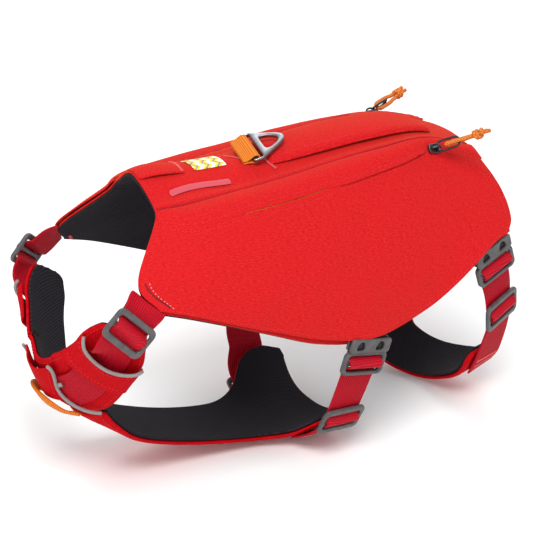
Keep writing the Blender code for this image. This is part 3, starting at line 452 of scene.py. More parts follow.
def tubeParts(points, radius, sidesRound=10, closed=False, squash=1.0):
    # vertices, faces and flat coordinates of a tube along the points
    points = np.asarray(points, float)
    ahead = np.roll(points, -1, axis=0) - np.roll(points, 1, axis=0)
    if not closed:
        ahead[0], ahead[-1] = points[1] - points[0], points[-1] - points[-2]
    ahead = unit(ahead)
    guide = np.array((0.0, 0.0, 1.0)) if abs(ahead[0][2]) < 0.9 else np.array((1.0, 0.0, 0.0))
    side = unit(np.cross(ahead[0], guide))
    rings, lengths = [], np.concatenate(([0.0], np.cumsum(np.linalg.norm(np.diff(points, axis=0), axis=1))))
    turns = np.linspace(0, 2 * pi, sidesRound, endpoint=False)
    radii = np.full(len(points), float(radius)) if np.isscalar(radius) else np.asarray(radius, float)
    for spot, way, size in zip(points, ahead, radii):
        side = unit(side - way * (side @ way))
        up = np.cross(way, side)
        rings.append(spot + size * (np.cos(turns)[:, None] * side + squash * np.sin(turns)[:, None] * up))
    flat = [(length, turn * radii.mean()) for length in lengths for turn in turns]
    index = np.arange(len(points) * sidesRound).reshape(len(points), sidesRound)
    rows = list(zip(index, np.roll(index, -1, axis=0))) if closed else list(zip(index[:-1], index[1:]))
    faces = [(low[k], low[(k + 1) % sidesRound], high[(k + 1) % sidesRound], high[k])
             for low, high in rows for k in range(sidesRound)]
    vertices = np.concatenate(rings)
    if not closed:      # rounded caps
        base = len(vertices)
        vertices = np.concatenate((vertices, [points[0] - ahead[0] * radii[0] * 0.45,
                                              points[-1] + ahead[-1] * radii[-1] * 0.45]))
        flat += [(lengths[0], 0.0), (lengths[-1], 0.0)]
        faces += [(base, index[0][(k + 1) % sidesRound], index[0][k]) for k in range(sidesRound)]
        faces += [(base + 1, index[-1][k], index[-1][(k + 1) % sidesRound]) for k in range(sidesRound)]
    return vertices, faces, np.array(flat)


def joinParts(groups):
    vertices, faces, flat, base = [], [], [], 0
    for points, polygons, places in groups:
        vertices.append(points)
        flat.append(places)
        faces += [tuple(k + base for k in face) for face in polygons]
        base += len(points)
    return np.concatenate(vertices), faces, np.concatenate(flat)


def tube(name, points, radius, look, sidesRound=10, closed=False, **ride):
    vertices, faces, flat = tubeParts(points, radius, sidesRound, closed)
    return newPiece(name, vertices, faces, look, flat, **ride)


def plateMesh(name, outlines, wall, rounding):
    # a flat plate from closed outlines, the inner ones cut out, with rounded edges
    curve = bpy.data.curves.new(name, "CURVE")
    curve.dimensions, curve.fill_mode = "2D", "BOTH"
    curve.extrude, curve.bevel_depth = (wall / 2 - rounding) * mm, rounding * mm
    curve.bevel_resolution, curve.offset = 3, -rounding * mm
    for outline in outlines:
        line = curve.splines.new("POLY")
        line.points.add(len(outline) - 1)
        for knot, (x, y) in zip(line.points, outline):
            knot.co = (x * mm, y * mm, 0.0, 1.0)
        line.use_cyclic_u = True
    helper = bpy.data.objects.new(name, curve)
    bpy.context.scene.collection.objects.link(helper)
    bpy.context.view_layer.update()
    mesh = bpy.data.meshes.new_from_object(helper.evaluated_get(bpy.context.evaluated_depsgraph_get()))
    bpy.data.objects.remove(helper)
    solid = bmesh.new()
    solid.from_mesh(mesh)
    bmesh.ops.remove_doubles(solid, verts=solid.verts, dist=1e-6)
    bmesh.ops.recalc_face_normals(solid, faces=solid.faces)
    solid.to_mesh(mesh)
    solid.free()
    return mesh


def roundedBox(wide, high, corner, middle=(0.0, 0.0), each=5):
    points = []
    for x, y, start in ((1, 1, 0), (-1, 1, 90), (-1, -1, 180), (1, -1, 270)):
        for k in range(each + 1):
            turn = radians(start + 90 * k / each)
            points.append((middle[0] + x * (wide / 2 - corner) + corner * cos(turn),
                           middle[1] + y * (high / 2 - corner) + corner * sin(turn)))
    return points


def placed(origin, forward, sideways):
    up = np.cross(forward, sideways)
    turn = Matrix((forward, sideways, up)).transposed().to_4x4()
    return Matrix.Translation(Vector(toWorld(origin))) @ turn


def meshPiece(name, mesh, matrix, look, body="harness", slot=None, stands=(), flat=False):
    mesh.transform(matrix)
    mesh.materials.clear()
    mesh.materials.append(look)
    mesh.polygons.foreach_set("use_smooth", [not flat] * len(mesh.polygons))
    piece = bpy.data.objects.new(name, mesh)
    bpy.context.scene.collection.objects.link(piece)
    return settle(piece, body, stands)


# rows of stitches, zip teeth and bar-tacks, set along lines by one tree
def rowTree():
    tree = bpy.data.node_groups.new("rowOnLine", "GeometryNodeTree")
    for name, kind in (("Line", "Geometry"), ("Pitch", "Float"), ("Size", "Vector"), ("Finish", "Material")):
        tree.interface.new_socket(name, in_out="INPUT", socket_type="NodeSocket" + kind)
    tree.interface.new_socket("Row", in_out="OUTPUT", socket_type="NodeSocketGeometry")
    given = addNode(tree, "NodeGroupInput").outputs
    curve = addNode(tree, "GeometryNodeMeshToCurve", {}, {"Mesh": given["Line"]})
    spots = addNode(tree, "GeometryNodeCurveToPoints", {"mode": "LENGTH"}, {"Curve": curve, "Length": given["Pitch"]})
    facing = addNode(tree, "GeometryNodeInputNamedAttribute", {"data_type": "FLOAT_VECTOR", "Name": "facing"})
    ahead = addNode(tree, "FunctionNodeAlignRotationToVector", {"axis": "X"}, {"Vector": spots.outputs["Tangent"]})
    upright = addNode(tree, "FunctionNodeAlignRotationToVector", {"axis": "Z", "pivot_axis": "X"}, {
        "Rotation": ahead, "Vector": facing})
    bead = addNode(tree, "GeometryNodeMeshUVSphere", {"Segments": 6, "Rings": 4, "Radius": 0.5})
    soft = addNode(tree, "GeometryNodeSetShadeSmooth", {}, {"Geometry": bead})
    row = addNode(tree, "GeometryNodeInstanceOnPoints", {}, {
        "Points": spots.outputs["Points"], "Instance": soft, "Rotation": upright, "Scale": given["Size"]})
    solid = addNode(tree, "GeometryNodeRealizeInstances", {}, {"Geometry": row})
    dressed = addNode(tree, "GeometryNodeSetMaterial", {}, {"Geometry": solid, "Material": given["Finish"]})
    addNode(tree, "NodeGroupOutput", {}, {"Row": dressed})
    return tree


rowOnLine = rowTree()
# size is along the line, across it and high, in millimetres
threads = {
    "seam": {"pitch": 2.6, "size": (1.9, 0.42, 0.34), "finish": redThread, "slot": "face_cloth"},
    "pale": {"pitch": 2.2, "size": (1.5, 0.42, 0.34), "finish": paleThread, "slot": "face_cloth"},
    "tack": {"pitch": 0.75, "size": (0.6, 2.6, 0.9), "finish": tackThread, "slot": "webbing"},
    "teeth": {"pitch": 1.15, "size": (0.62, 2.0, 0.8), "finish": zipNylon, "slot": "orange_cord"},
}
sewn = {kind: [] for kind in threads}


def lineOn(place, a, b, lift):
    # points on a cloth's place at shares a and b, lifted off it, with the way that they face
    a, b = np.broadcast_arrays(np.atleast_1d(np.asarray(a, float)), np.asarray(b, float))
    step = 0.004
    run = place(np.minimum(a + step, 1), b) - place(np.maximum(a - step, 0), b)
    across = place(a, np.minimum(b + step, 1)) - place(a, np.maximum(b - step, 0))
    facing = unit(np.cross(run, across))
    return place(a, b) + facing * lift, facing


def border(place, edge, lift, count=60):
    # a line all round a cloth, a share of each side in from its edges
    (lowA, highA), (lowB, highB) = edge
    t = np.linspace(0, 1, count)
    flat = np.concatenate([
        np.stack((lowA + (highA - lowA) * t, np.full(count, lowB)), 1),
        np.stack((np.full(count, highA), lowB + (highB - lowB) * t), 1)[1:],
        np.stack((highA + (lowA - highA) * t, np.full(count, highB)), 1)[1:],
        np.stack((np.full(count, lowA), highB + (lowB - highB) * t), 1)[1:]])
    return lineOn(place, flat[:, 0], flat[:, 1], lift)


def sewRows(kind):
    thread, lines = threads[kind], sewn[kind]
    mesh = bpy.data.meshes.new(kind)
    points = np.concatenate([line for line, _ in lines])
    starts = np.concatenate(([0], np.cumsum([len(line) for line, _ in lines])))
    edges = [(k, k + 1) for low, high in zip(starts[:-1], starts[1:]) for k in range(low, high - 1)]
    mesh.from_pydata([tuple(p) for p in toWorld(points)], edges, [])
    facing = mesh.attributes.new("facing", "FLOAT_VECTOR", "POINT")
    facing.data.foreach_set("vector", np.concatenate([way for _, way in lines]).astype(np.float32).ravel())
    helper = bpy.data.objects.new(kind, mesh)
    bpy.context.scene.collection.objects.link(helper)
    rows = helper.modifiers.new("rows", "NODES")
    rows.node_group = rowOnLine
    sockets = {socket.name: socket.identifier for socket in rowOnLine.interface.items_tree}
    rows[sockets["Pitch"]] = thread["pitch"] * mm
    rows[sockets["Size"]] = [size * mm for size in thread["size"]]
    rows[sockets["Finish"]] = thread["finish"]
    result = bpy.data.meshes.new_from_object(helper.evaluated_get(bpy.context.evaluated_depsgraph_get()))
    bpy.data.objects.remove(helper)
    piece = bpy.data.objects.new({"seam": "seamStitches", "pale": "paleStitches", "tack": "barTacks",
                                  "teeth": "zipTeeth"}[kind], result)
    bpy.context.scene.collection.objects.link(piece)
    settle(piece)


# the saddle's form: one row per station from the neck edge to the rear edge, each with the
# points of its spine, yoke seam, zip, flank and hem on the right side
saddle = {
    "seam": 0.20, "zip": 0.29, "flank": 0.62, "zipGap": 0.008, "shellWall": 1.2, "liningWall": 1.8,
    "stations": (
        (-83, -0.5, -81, 28, -16.5, -84, 34, -24, -108, 56, -51, -100, 70, -67),
        (-60, -2.5, -62, 31, -16.5, -63, 45, -28, -71, 63, -60, -73, 74, -77),
        (-25, -5, -25, 30, -16.5, -25, 46, -26, -28, 66, -66, -30, 76, -96),
        (12, -6, 12, 30, -14.5, 13, 45, -25, 12, 67, -70, 15, 76, -116),
        (48, -6, 48, 30, -11.5, 42, 43, -22, 50, 66, -71, 55, 76, -122),
        (88, -6.5, 90, 29, -9.5, 92, 38.5, -19, 92, 63, -64, 97, 74, -112),
        (128, -10, 126, 27, -11, 127, 32.5, -18, 135, 58, -54, 137, 71, -90),
        (164, -20.5, 163, 28, -23, 165, 38, -30, 172, 57, -51, 171, 67, -74)),
    # height of the pocket above the saddle: share from spine to hem, front, rear
    "lifts": ((0.20, 0.4, 0.4), (0.25, 7.6, 4.0), (0.29, 6.2, 4.6), (0.45, 8.0, 7.0),
              (0.62, 8.0, 7.6), (0.85, 5.4, 5.0), (1.0, 1.8, 1.8)),
}
seamV, zipV, zipGap = saddle["seam"], saddle["zip"], saddle["zipGap"]
saddleNet = np.array([((r[2], -r[3], r[4]), (r[0], 0, r[1]), (r[2], r[3], r[4]), (r[5], r[6], r[7]),
                       (r[8], r[9], r[10]), (r[11], r[12], r[13])) for r in saddle["stations"]], float)


def saddlePoint(u, across):
    byStation = curveWeights(np.linspace(0, 1, 8), u)
    byLine = curveWeights([-seamV, 0.0, seamV, zipV, saddle["flank"], 1.0], np.abs(across))
    points = np.einsum("ni,nj,ijk->nk", byStation, byLine, saddleNet)
    points[:, 1] *= np.where(np.asarray(across) < 0, -1.0, 1.0)
    return points


def onSaddle(u, across, lift=0.0):
    u, across = np.broadcast_arrays(np.atleast_1d(np.asarray(u, float)), np.asarray(across, float))
    lift = np.broadcast_to(np.asarray(lift, float), u.shape)[:, None]
    return saddlePoint(u, across) + outOf(saddlePoint, u, across, 1) * lift


def near(u, station, reach):
    return np.exp(-((u - station) / reach) ** 2)


def pocketLift(u, v):
    table = np.array(saddle["lifts"])
    heights = table[:, 1] + (table[:, 2] - table[:, 1]) * np.asarray(u)[:, None]
    lift = (curveWeights(table[:, 0], v) * heights).sum(1)
    ends = np.sin(pi * np.clip(u, 0, 1)) ** 0.45
    room = 5.0 * near(u, 0.55, 0.08) + 9.4 * near(u, 0.895, 0.14)      # over the two buckles
    return gap + lift * (0.1 + 0.9 * ends) + room * np.maximum(0, (v - saddle["flank"]) / (1 - saddle["flank"]))


def pocketHem(u):
    return 0.985 - 0.05 * near(u, 0.45, 0.14) - 0.055 * near(u, 0.935, 0.08)


def zipSlit(u):
    # half the slit between flap and pocket face, open along the zip
    return 0.0008 + 0.0030 * np.clip((u - 0.255) / 0.02, 0, 1) * np.clip((0.86 - u) / 0.02, 0, 1)


def mirrored(place, side):
    if side < 0:
        return place
    return lambda a, b: place(a, 1.0 - b) * (1.0, -1.0, 1.0)


def foldLine(spots):
    # a fold's line from (share along the saddle, share across) pairs
    u, across = np.array(spots, float).T
    return saddlePoint(u, across)


def bothSides(folds):
    return folds + [(line * (1, -1, 1), width * 1.1, height * 0.9) for line, width, height in folds]


yokeFolds = bothSides([
    (foldLine([(0.02, -0.16), (0.10, -0.13), (0.20, -0.15)]), 3.0, -0.8),
    (foldLine([(0.20, -0.13), (0.27, -0.16), (0.34, -0.17)]), 3.2, -1.0),
    (foldLine([(0.32, -0.04), (0.36, -0.10), (0.36, -0.17)]), 3.0, 0.7),
    (foldLine([(0.05, -0.18), (0.16, -0.17), (0.30, -0.19)]), 2.6, 0.6),
])


def buildSaddle():
    def layer(depth, lap):
        def place(a, b):
            v, step = np.abs(2 * b - 1), 1 / 75
            beyond = seamV + 0.0015 + (v - seamV - step) * (0.9985 - seamV) / (1 - seamV - step)
            across = np.where(v < seamV + 0.001, v, beyond) * np.sign(2 * b - 1)
            points = onSaddle(a, across, -depth)
            pucker = 0.35 * np.sin(a * 120) * np.sin(a * 47)
            ledge = np.where(v < seamV + 0.001, (lap + pucker) * np.clip((v - 0.145) / 0.055, 0, 1) ** 2, 0.0)
            ledge = ledge * np.clip(a / 0.04, 0, 1) * np.clip((1 - a) / 0.03, 0, 1)
            relief = foldRelief(points, yokeFolds) + 0.35 * waves(points, 34, 1.0) + ledge
            return points + outOf(saddlePoint, a, across, 1) * relief[:, None]
        return place

    outer, a, lift = layer(saddle["shellWall"], 3.0), np.linspace(0.02, 0.98, 260), saddle["shellWall"] + 0.05
    for side, word in sides:
        sewn["seam"].append(lineOn(outer, a, 0.5 + side * 0.0915, lift))
        # a dark red tube along the flap's top edge is painted shade in the yoke seam
        u = np.linspace(-0.002, 0.985, 200)
        v = seamV + 0.0065 + 0.0012 * np.sin(u * 90) * np.sin(u * 37)
        height = pocketLift(u, v) + saddle["shellWall"]
        tube("yokeSeamShade" + word.title(), onSaddle(u, side * v, height), 0.55, seamShade, 8, slot="face_cloth")
    for a in (0.018, 0.982):
        sewn["seam"].append(lineOn(outer, a, np.linspace(0.02, 0.98, 300), lift))
    clothShell("saddleShell", outer, (110, 150), saddle["shellWall"], packCloth,
               (295, 318, 69500, "saddleLining"), slot="face_cloth", stands=["saddle_shell"])
    deep = saddle["shellWall"] + gap + saddle["liningWall"]
    clothShell("saddleLining", layer(deep, 0.0), (90, 120), saddle["liningWall"], lining,
               (293, 310, 68000, "saddleShell"), slot="lining", stands=["saddle_lining"])


pocketFolds = [
    (foldLine([(0.10, -0.36), (0.22, -0.44), (0.34, -0.48)]), 9.0, 1.2),
    (foldLine([(0.30, -0.95), (0.34, -0.80), (0.37, -0.62)]), 9.0, -1.5),
    (foldLine([(0.62, -0.92), (0.60, -0.75), (0.57, -0.58)]), 10.0, -1.5),
    (foldLine([(0.80, -0.34), (0.88, -0.42), (0.95, -0.52)]), 7.0, -1.7),
    (foldLine([(0.84, -0.32), (0.92, -0.36), (0.98, -0.44)]), 5.0, 1.4),
    (foldLine([(0.06, -0.60), (0.14, -0.66), (0.24, -0.66)]), 8.0, -1.2),
]
flapFolds = [
    (foldLine([(0.66, -0.215), (0.78, -0.225), (0.90, -0.235)]), 1.6, -1.0),
    (foldLine([(0.70, -0.245), (0.76, -0.255), (0.80, -0.275)]), 1.5, 0.8),
    (foldLine([(0.86, -0.24), (0.90, -0.25), (0.95, -0.262)]), 1.8, 1.1),
    (foldLine([(0.22, -0.225), (0.34, -0.23), (0.44, -0.225)]), 1.8, -0.7),
    (foldLine([(0.08, -0.25), (0.14, -0.24), (0.22, -0.25)]), 2.0, 0.6),
]


def buildPocket(side, word):
    def raised(u, v, folds, swell):
        points = onSaddle(u, -v, pocketLift(u, v))
        relief = foldRelief(points, folds) + swell * waves(points, 30, 2.0 + side)
        return points + outOf(saddlePoint, u, -v, 1) * relief[:, None]

    def face(a, b):
        u = a * 0.998 - 0.006
        hem = pocketHem(u) + 0.03 * near(u, 0.46, 0.12)
        v = hem + (zipV + zipSlit(u) - hem) * b
        u = u - 0.03 * a**14 * np.clip((v - 0.84) / 0.12, 0, 1) ** 2        # the rear corner is rounded
        return raised(u, v, pocketFolds, 0.6)

    def flap(a, b):
        u = a * 1.006 - 0.006
        lap = np.clip((u - 0.53) / 0.07, 0, 1) * np.clip((0.835 - u) / 0.03, 0, 1)      # it laps over the zip here
        low = zipV - zipSlit(u) + 0.012 * lap
        top = seamV + 0.0075 + 0.0012 * np.sin(u * 90) * np.sin(u * 37)
        v = low + (top - low) * b
        points = raised(u, v, flapFolds, 0.3)
        return points + outOf(saddlePoint, u, -v, 1) * (1.7 * lap * (1 - b) ** 2)[:, None]

    def tape(a, b):
        v = zipV + zipGap * (2 - 4 * b)
        u = 0.25 + 0.6 * a
        return onSaddle(u, -v, pocketLift(u, v) - 1.5)

    clothShell("pocketFace" + word.title(), mirrored(face, side), (120, 70), saddle["shellWall"], packCloth,
               (296, 108, 22900, "saddleShell"), slot="face_cloth", stands=["pocket_face_" + word])
    clothShell("zipFlap" + word.title(), mirrored(flap, side), (150, 14), saddle["shellWall"], packCloth,
               (262, 24, 4300, "saddleShell"), slot="face_cloth", stands=["zip_flap_" + word])
    # the slit that the shoulder strap comes out of, with a dark tube as its painted shade, and a pale row of stitches
    # along it
    t = np.linspace(0, 1, 50)
    slot = along(((0.006, 0.63), (0.013, 0.73), (0.021, 0.83), (0.032, 0.93)), t)
    lineU, lineV = slot.T
    spots, facing = raised(lineU, lineV, pocketFolds, 0.6), outOf(saddlePoint, lineU, -lineV, 1)
    flip = np.array((1.0, -side, 1.0))
    # a dark tube in the zip tape's finish is painted shade inside the slit
    tube("strapSlitShade" + word.title(), (spots + facing * 1.15) * flip, 0.55, zipTape, 8, slot="face_cloth")
    lineU = lineU + 0.010
    spots, facing = raised(lineU, lineV, pocketFolds, 0.6), outOf(saddlePoint, lineU, -lineV, 1)
    sewn["pale"].append(((spots + facing * 1.3) * flip, facing * flip))
    inner = saddle["shellWall"] + 2 * gap + saddle["liningWall"]
    u, across = np.full(30, 0.028), np.linspace(0.85, 0.94, 30)
    sewn["tack"].append((onSaddle(u, side * across, -inner), -outOf(saddlePoint, u, side * across, 1)))
    clothShell("zipTape" + word.title(), mirrored(tape, side), (60, 6), 0.8, zipTape,
               slot="orange_cord", stands=["zip_tape_" + word])
    a, lift = np.linspace(0.03, 0.97, 240), saddle["shellWall"] + 0.05
    for place, rows in ((face, (0.03, 0.972)), (flap, (0.16, 0.86))):
        for b in rows:
            sewn["seam"].append(lineOn(mirrored(place, side), a, b if side < 0 else 1 - b, lift))
    for a in (0.018, 0.984):
        sewn["seam"].append(lineOn(mirrored(face, side), a, np.linspace(0.03, 0.97, 140), lift))
    u = np.linspace(0.262, 0.838, 500)
    line, facing = onSaddle(u, -zipV, pocketLift(u, zipV) + 0.25), outOf(saddlePoint, u, np.full(500, -zipV), 1)
    sewn["teeth"].append((line * (1, -side, 1), facing * (1, -side, 1)))


def buildYoke():
    handle = {"v": 0.125, "start": 0.425, "long": 0.475, "rise": 4.6, "wall": 2.8}

    def handleFoot(a, b):
        u = handle["start"] + handle["long"] * a
        arch = np.sin(pi * a)
        across = handle["v"] * (2 * b - 1) * (0.84 + 0.16 * arch**0.5)
        edge = 1.0 - 0.6 * np.abs(2 * b - 1) ** 2.5
        return onSaddle(u, across, gap + handle["rise"] * edge * arch**0.7)

    def handleWall(a, b):
        near = np.minimum(np.minimum(a, 1 - a) * 116, np.minimum(b, 1 - b) * 34)
        rounded = np.sqrt(1 - (1 - np.clip(near / 4.5, 0, 1)) ** 2)
        return handle["wall"] * (0.45 + 0.62 * rounded)

    grab = clothShell("grabHandle", handleFoot, (90, 36), handleWall, packCloth,
                      slot="face_cloth", stands=["grab_handle"])

    def handleTop(a, b):
        u = np.clip(a, 0, 1)
        foot = handleFoot(a, b)
        turn = outOf(saddlePoint, handle["start"] + handle["long"] * u, handle["v"] * (2 * b - 1), 1)
        return foot + turn * handleWall(a, b)[:, None]

    for b in (0.10, 0.90):
        sewn["seam"].append(lineOn(handleTop, np.linspace(0.02, 0.98, 120), b, 0.1))
    for a in (0.965,):
        sewn["seam"].append(lineOn(handleTop, a, np.linspace(0.1, 0.9, 40), 0.1))

    def tab(a, b):
        return onSaddle(0.004 + 0.185 * a, 0.055 * (2 * b - 1), gap + 1.6 * np.sin(pi * a))

    def label(a, b):
        return onSaddle(0.222 + 0.09 * a, 0.063 * (2 * b - 1) + 0.01, gap + 0.25)

    sewn["seam"].append(border(tab, ((0.05, 0.95), (0.09, 0.91)), saddle["shellWall"] + 0.05))
    sewn["tack"].append(lineOn(tab, 0.965, np.linspace(0.04, 0.96, 30), saddle["shellWall"] + 0.2))
    sewn["pale"].append(border(label, ((0.06, 0.94), (0.06, 0.94)), 0.65, 24))

    t = np.linspace(0, 1, 30)
    for foot, head, lift in (((0.335, 0.035), (0.378, -0.062), 0.5), ((0.418, -0.068), (0.428, -0.14), 0.9),
                             ((0.418, 0.068), (0.428, 0.14), 0.9)):
        u, across = foot[0] + (head[0] - foot[0]) * t, foot[1] + (head[1] - foot[1]) * t
        sewn["tack"].append((onSaddle(u, across, lift), outOf(saddlePoint, u, across, 1)))
    clothShell("spineTab", tab, (40, 20), saddle["shellWall"], packCloth, (33, 19, 600, "saddleShell"),
               slot="face_cloth", stands=["spine_tab"])
    clothShell("backLabel", label, (20, 20), 0.6, wovenLabel, (23, 20, 455, "saddleShell"),
               slot="label", stands=["back_label"])
    strips = {"path": ((0.105, 0.142), (0.17, 0.131), (0.22, 0.131), (0.27, 0.139), (0.295, 0.142)),
              "half": 0.0125, "lift": 0.3, "wall": 0.3}
    for side, word in sides:
        def strip(a, b):
            u, v = along(strips["path"], a).T
            ends = np.sqrt(np.clip(1 - (np.maximum(0, np.abs(2 * a - 1) - 0.94) / 0.06) ** 2, 0.0, 1)) * 0.94 + 0.06
            return onSaddle(u, side * v + strips["half"] * (2 * b - 1) * ends, strips["lift"])

        clothShell("reflectStrip" + word.title(), strip, (60, 5), strips["wall"], reflectPrint, slot="piping")


# pads: rows run along the piece; x, y, z, outward direction, half width
def mirroredRows(half):
    return list(half) + [(x, -y, z, nx, -ny, nz, wide) for x, y, z, nx, ny, nz, wide in reversed(half[:-1])]


chestRows = mirroredRows([
    (-121.5, -59.5, -82.5, -0.33, -0.94, 0.07, 15.5), (-127, -53, -93.5, -0.49, -0.87, -0.10, 21.5),
    (-132, -44.5, -107, -0.62, -0.74, -0.26, 22.5), (-141, -24, -128, -0.74, -0.58, -0.33, 25.5),
    (-150, 0, -133, -0.92, 0.00, -0.40, 19)])
girthRows = [
    (169, -51, -170, 0.20, -0.95, -0.20, 16), (168, -37, -190, 0.30, -0.72, -0.62, 18),
    (162, 0, -203, 0.46, 0.00, -0.88, 17), (153, 30, -201, 0.45, 0.25, -0.86, 18),
    (151, 47, -191, 0.36, 0.62, -0.70, 18), (158, 57, -168, 0.20, 0.95, -0.20, 16)]
# sternum: x, z, half width, sweep of the edges along x, rise of the edges
sternumRows = [
    (-132.5, -159.5, 26, 10, 7), (-120, -168.5, 28, 5, 4), (-98, -182, 28, 0, 2), (-64, -195, 26.5, 0, 1.5),
    (-30, -203.5, 26.5, 0, 1.5), (-6, -208, 30, 0, 3), (12, -210, 42, 2, 9), (25, -210, 56, 3, 21),
    (40, -209, 60, 5, 23), (53, -206, 54, 8, 16)]


def bandFrame(rows, t):
    step = 0.004
    row = along(rows, t)
    t = np.atleast_1d(t)
    run = unit(along(rows, np.minimum(t + step, 1))[:, :3] - along(rows, np.maximum(t - step, 0))[:, :3])
    side = unit(np.cross(run, row[:, 3:6]))
    return row[:, :3], run, side, np.cross(side, run), row[:, 6]


def bandPoint(rows, crown):
    def point(t, b):
        centre, _, side, out, half = bandFrame(rows, t)
        return centre + side * (half * b)[:, None] - out * (crown * b * b)[:, None]
    return point


chestPoint, girthPoint = bandPoint(chestRows, 1.5), bandPoint(girthRows, 1.0)


def sternumPoint(t, b):
    x, z, half, sweep, rise = along(sternumRows, t).T
    return np.stack((x + sweep * b * b, half * b, z + rise * np.abs(b) ** 2.4), 1)


def onPad(surface, t, b, lift=0.0):
    t, b = np.broadcast_arrays(np.atleast_1d(np.asarray(t, float)), np.asarray(b, float))
    lift = np.broadcast_to(np.asarray(lift, float), t.shape)[:, None]
    return surface(t, b) + outOf(surface, t, b, -1) * lift


def buildPads():
    pads = (("chest", chestPoint, (120, 30), 250, 38, 0.45), ("sternum", sternumPoint, (110, 60), 215, 70, 0.4),
            ("girth", girthPoint, (100, 26), 170, 36, 0.45))
    for word, surface, cells, long, wide, fill in pads:
        corner = {"chest": 9.0, "sternum": 3.0, "girth": 8.0}[word]
        def rolled(a, b, reach, low, high):
            near = np.minimum(np.minimum(a, 1 - a) * long, np.minimum(b, 1 - b) * wide)
            return low + (high - low) * np.sqrt(1 - (1 - np.clip(near / reach, 0, 1)) ** 2)

        def layer(depth, inset, swell):
            def place(a, b):
                t = inset / long + (1 - 2 * inset / long) * a
                end = np.clip(1 - np.minimum(a, 1 - a) * long / corner, 0, 1)
                c = (1 - 2 * b) * (1 - 2 * inset / wide) * (1 - (1 - np.sqrt(1 - end**2)) * 2 * corner / wide)
                points = onPad(surface, t, c, -depth)
                return points + outOf(surface, t, c, -1) * (swell * waves(points, 16, 3.0))[:, None]
            return place

        shell = clothShell(word + "Shell", layer(2.6, 0.0, 0.12), cells, lambda a, b: rolled(a, b, 3.0, 1.9, 2.75),
                           chestCloth, slot="face_cloth", stands=[word + "_shell"])
        inner = clothShell(word + "Lining", layer(4.9, 0.6, 0.15), cells, lambda a, b: rolled(a, b, 4.0, 1.5, 2.1),
                           lining, slot="lining", stands=[word + "_lining"])
        for b in (0.05, 0.95):
            sewn["seam"].append(lineOn(layer(0.0, 0.0, 0.12), np.linspace(0.02, 0.98, 200), b, 0.2))


# straps: routes of the webbing's inner face, on the left side
web = {"half": 12.5, "wall": 1.5, "seat": 0.6, "wing": 1.5}
adjusterSize = {"long": 33.6, "short": 21.8, "wall": 2.9, "rail": 4.0}
latchSize = {"long": 34.0, "short": 17.6, "wall": 3.4, "rail": 2.8}
socketSize = {"long": 32.0, "short": 10.6, "wall": 5.4}


def padRow(surface, t, b, lift):
    t, b = np.array([t]), np.array([b])
    return (*onPad(surface, t, b, lift)[0], *outOf(surface, t, b, -1)[0], web["half"])


def freeRow(*numbers):
    return (*numbers, web["half"])


def onSide(rows, side):
    return [(x, y * -side, z, nx, ny * -side, nz, half) for x, y, z, nx, ny, nz, half in rows]


chestRun = [padRow(chestPoint, t, b, web["seat"]) for t, b in ((0.18, 0.0), (0.26, 0.0), (0.34, -0.05), (0.42, -0.15))]
shoulder = {
    "left": [freeRow(-106.5, -63.2, -61.5, -0.42, -0.76, 0.45), freeRow(-113.0, -63.9, -67.6, -0.14, -0.98, 0.14),
             freeRow(-123.0, -64.3, -76.2, -0.09, -0.99, 0.01), freeRow(-130.5, -63.3, -84.5, -0.15, -0.98, -0.03)],
    "right": [freeRow(-106.5, -63.2, -61.5, -0.42, -0.76, 0.45), freeRow(-115.5, -64.2, -66.2, -0.38, -0.87, 0.30),
              freeRow(-125.5, -64.5, -74.0, -0.38, -0.87, 0.30), freeRow(-132.0, -63.0, -84.5, -0.34, -0.92, 0.12)],
    "seat": 2 / 7}
belly = {
    "top": [freeRow(37.6, -67.2, -171.5, 0.0, -0.90, -0.42), freeRow(42.0, -72.5, -151.0, 0.0, -0.98, -0.20),
            freeRow(45.3, -75.0, -136.3, 0.0, -0.99, -0.10), freeRow(47.0, -75.6, -128.0, 0.0, -1.00, -0.06)],
    "left": [padRow(sternumPoint, 0.79, -0.60, 1.5), padRow(sternumPoint, 0.80, -0.80, 2.4),
             freeRow(35.0, -57.2, -192.0, 0.0, -0.88, -0.47), freeRow(36.2, -62.5, -181.5, 0.0, -0.88, -0.47)],
    "right": [padRow(sternumPoint, 0.80, -0.48, 1.5), padRow(sternumPoint, 0.80, -0.68, 1.5),
              padRow(sternumPoint, 0.80, -0.88, 1.5), freeRow(37.5, -62.5, -185.5, 0.0, -0.80, -0.60)],
    "seat": {"left": 3 / 7, "right": 1 / 7}, "latch": 6 / 7, "tab": 0.55}
rear = {
    "top": [freeRow(156.2, -67.6, -95.0, 0.10, -0.99, 0.05), freeRow(153.9, -67.9, -87.5, 0.08, -0.99, 0.05)],
    "left": [freeRow(170.8, -57.2, -150.0, 0.30, -0.95, -0.12), freeRow(168.3, -61.0, -133.7, 0.30, -0.95, -0.08),
             freeRow(163.5, -65.0, -114.5, 0.24, -0.96, -0.08)],
    "right": [freeRow(162.0, -59.8, -152.0, 0.20, -0.97, -0.12), freeRow(162.5, -62.4, -138.5, 0.20, -0.97, -0.08),
              freeRow(162.3, -65.0, -115.5, 0.22, -0.97, -0.08)],
    "foot": {"left": (0.16, 0.04), "right": (0.84, 0.96)}, "seat": 3 / 6, "latch": 5 / 6, "tab": 0.935}


def arcTable(rows):
    shares = np.linspace(0, 1, 401)
    centres = along(rows, shares)[:, :3]
    return shares, np.concatenate(([0.0], np.cumsum(np.linalg.norm(np.diff(centres, axis=0), axis=1))))


def plateLift(rows, at, short):
    # how far above the route a plate lies to clear the webbing under its rails
    shares, lengths = arcTable(rows)
    centre, _, _, out, _ = bandFrame(rows, at)
    near = shares[np.abs(lengths - np.interp(at, shares, lengths)) < short / 2]
    spots, _, side, _, half = bandFrame(rows, near)
    rises = [((spots + side * (half * edge)[:, None] - centre[0]) @ out[0]).max() for edge in (-1, 1)]
    return max(rises) + web["wall"] + gap


def adjusterHump(rows, at):
    return at, 6.6, plateLift(rows, at, adjusterSize["short"]) + adjusterSize["wall"] + 0.8


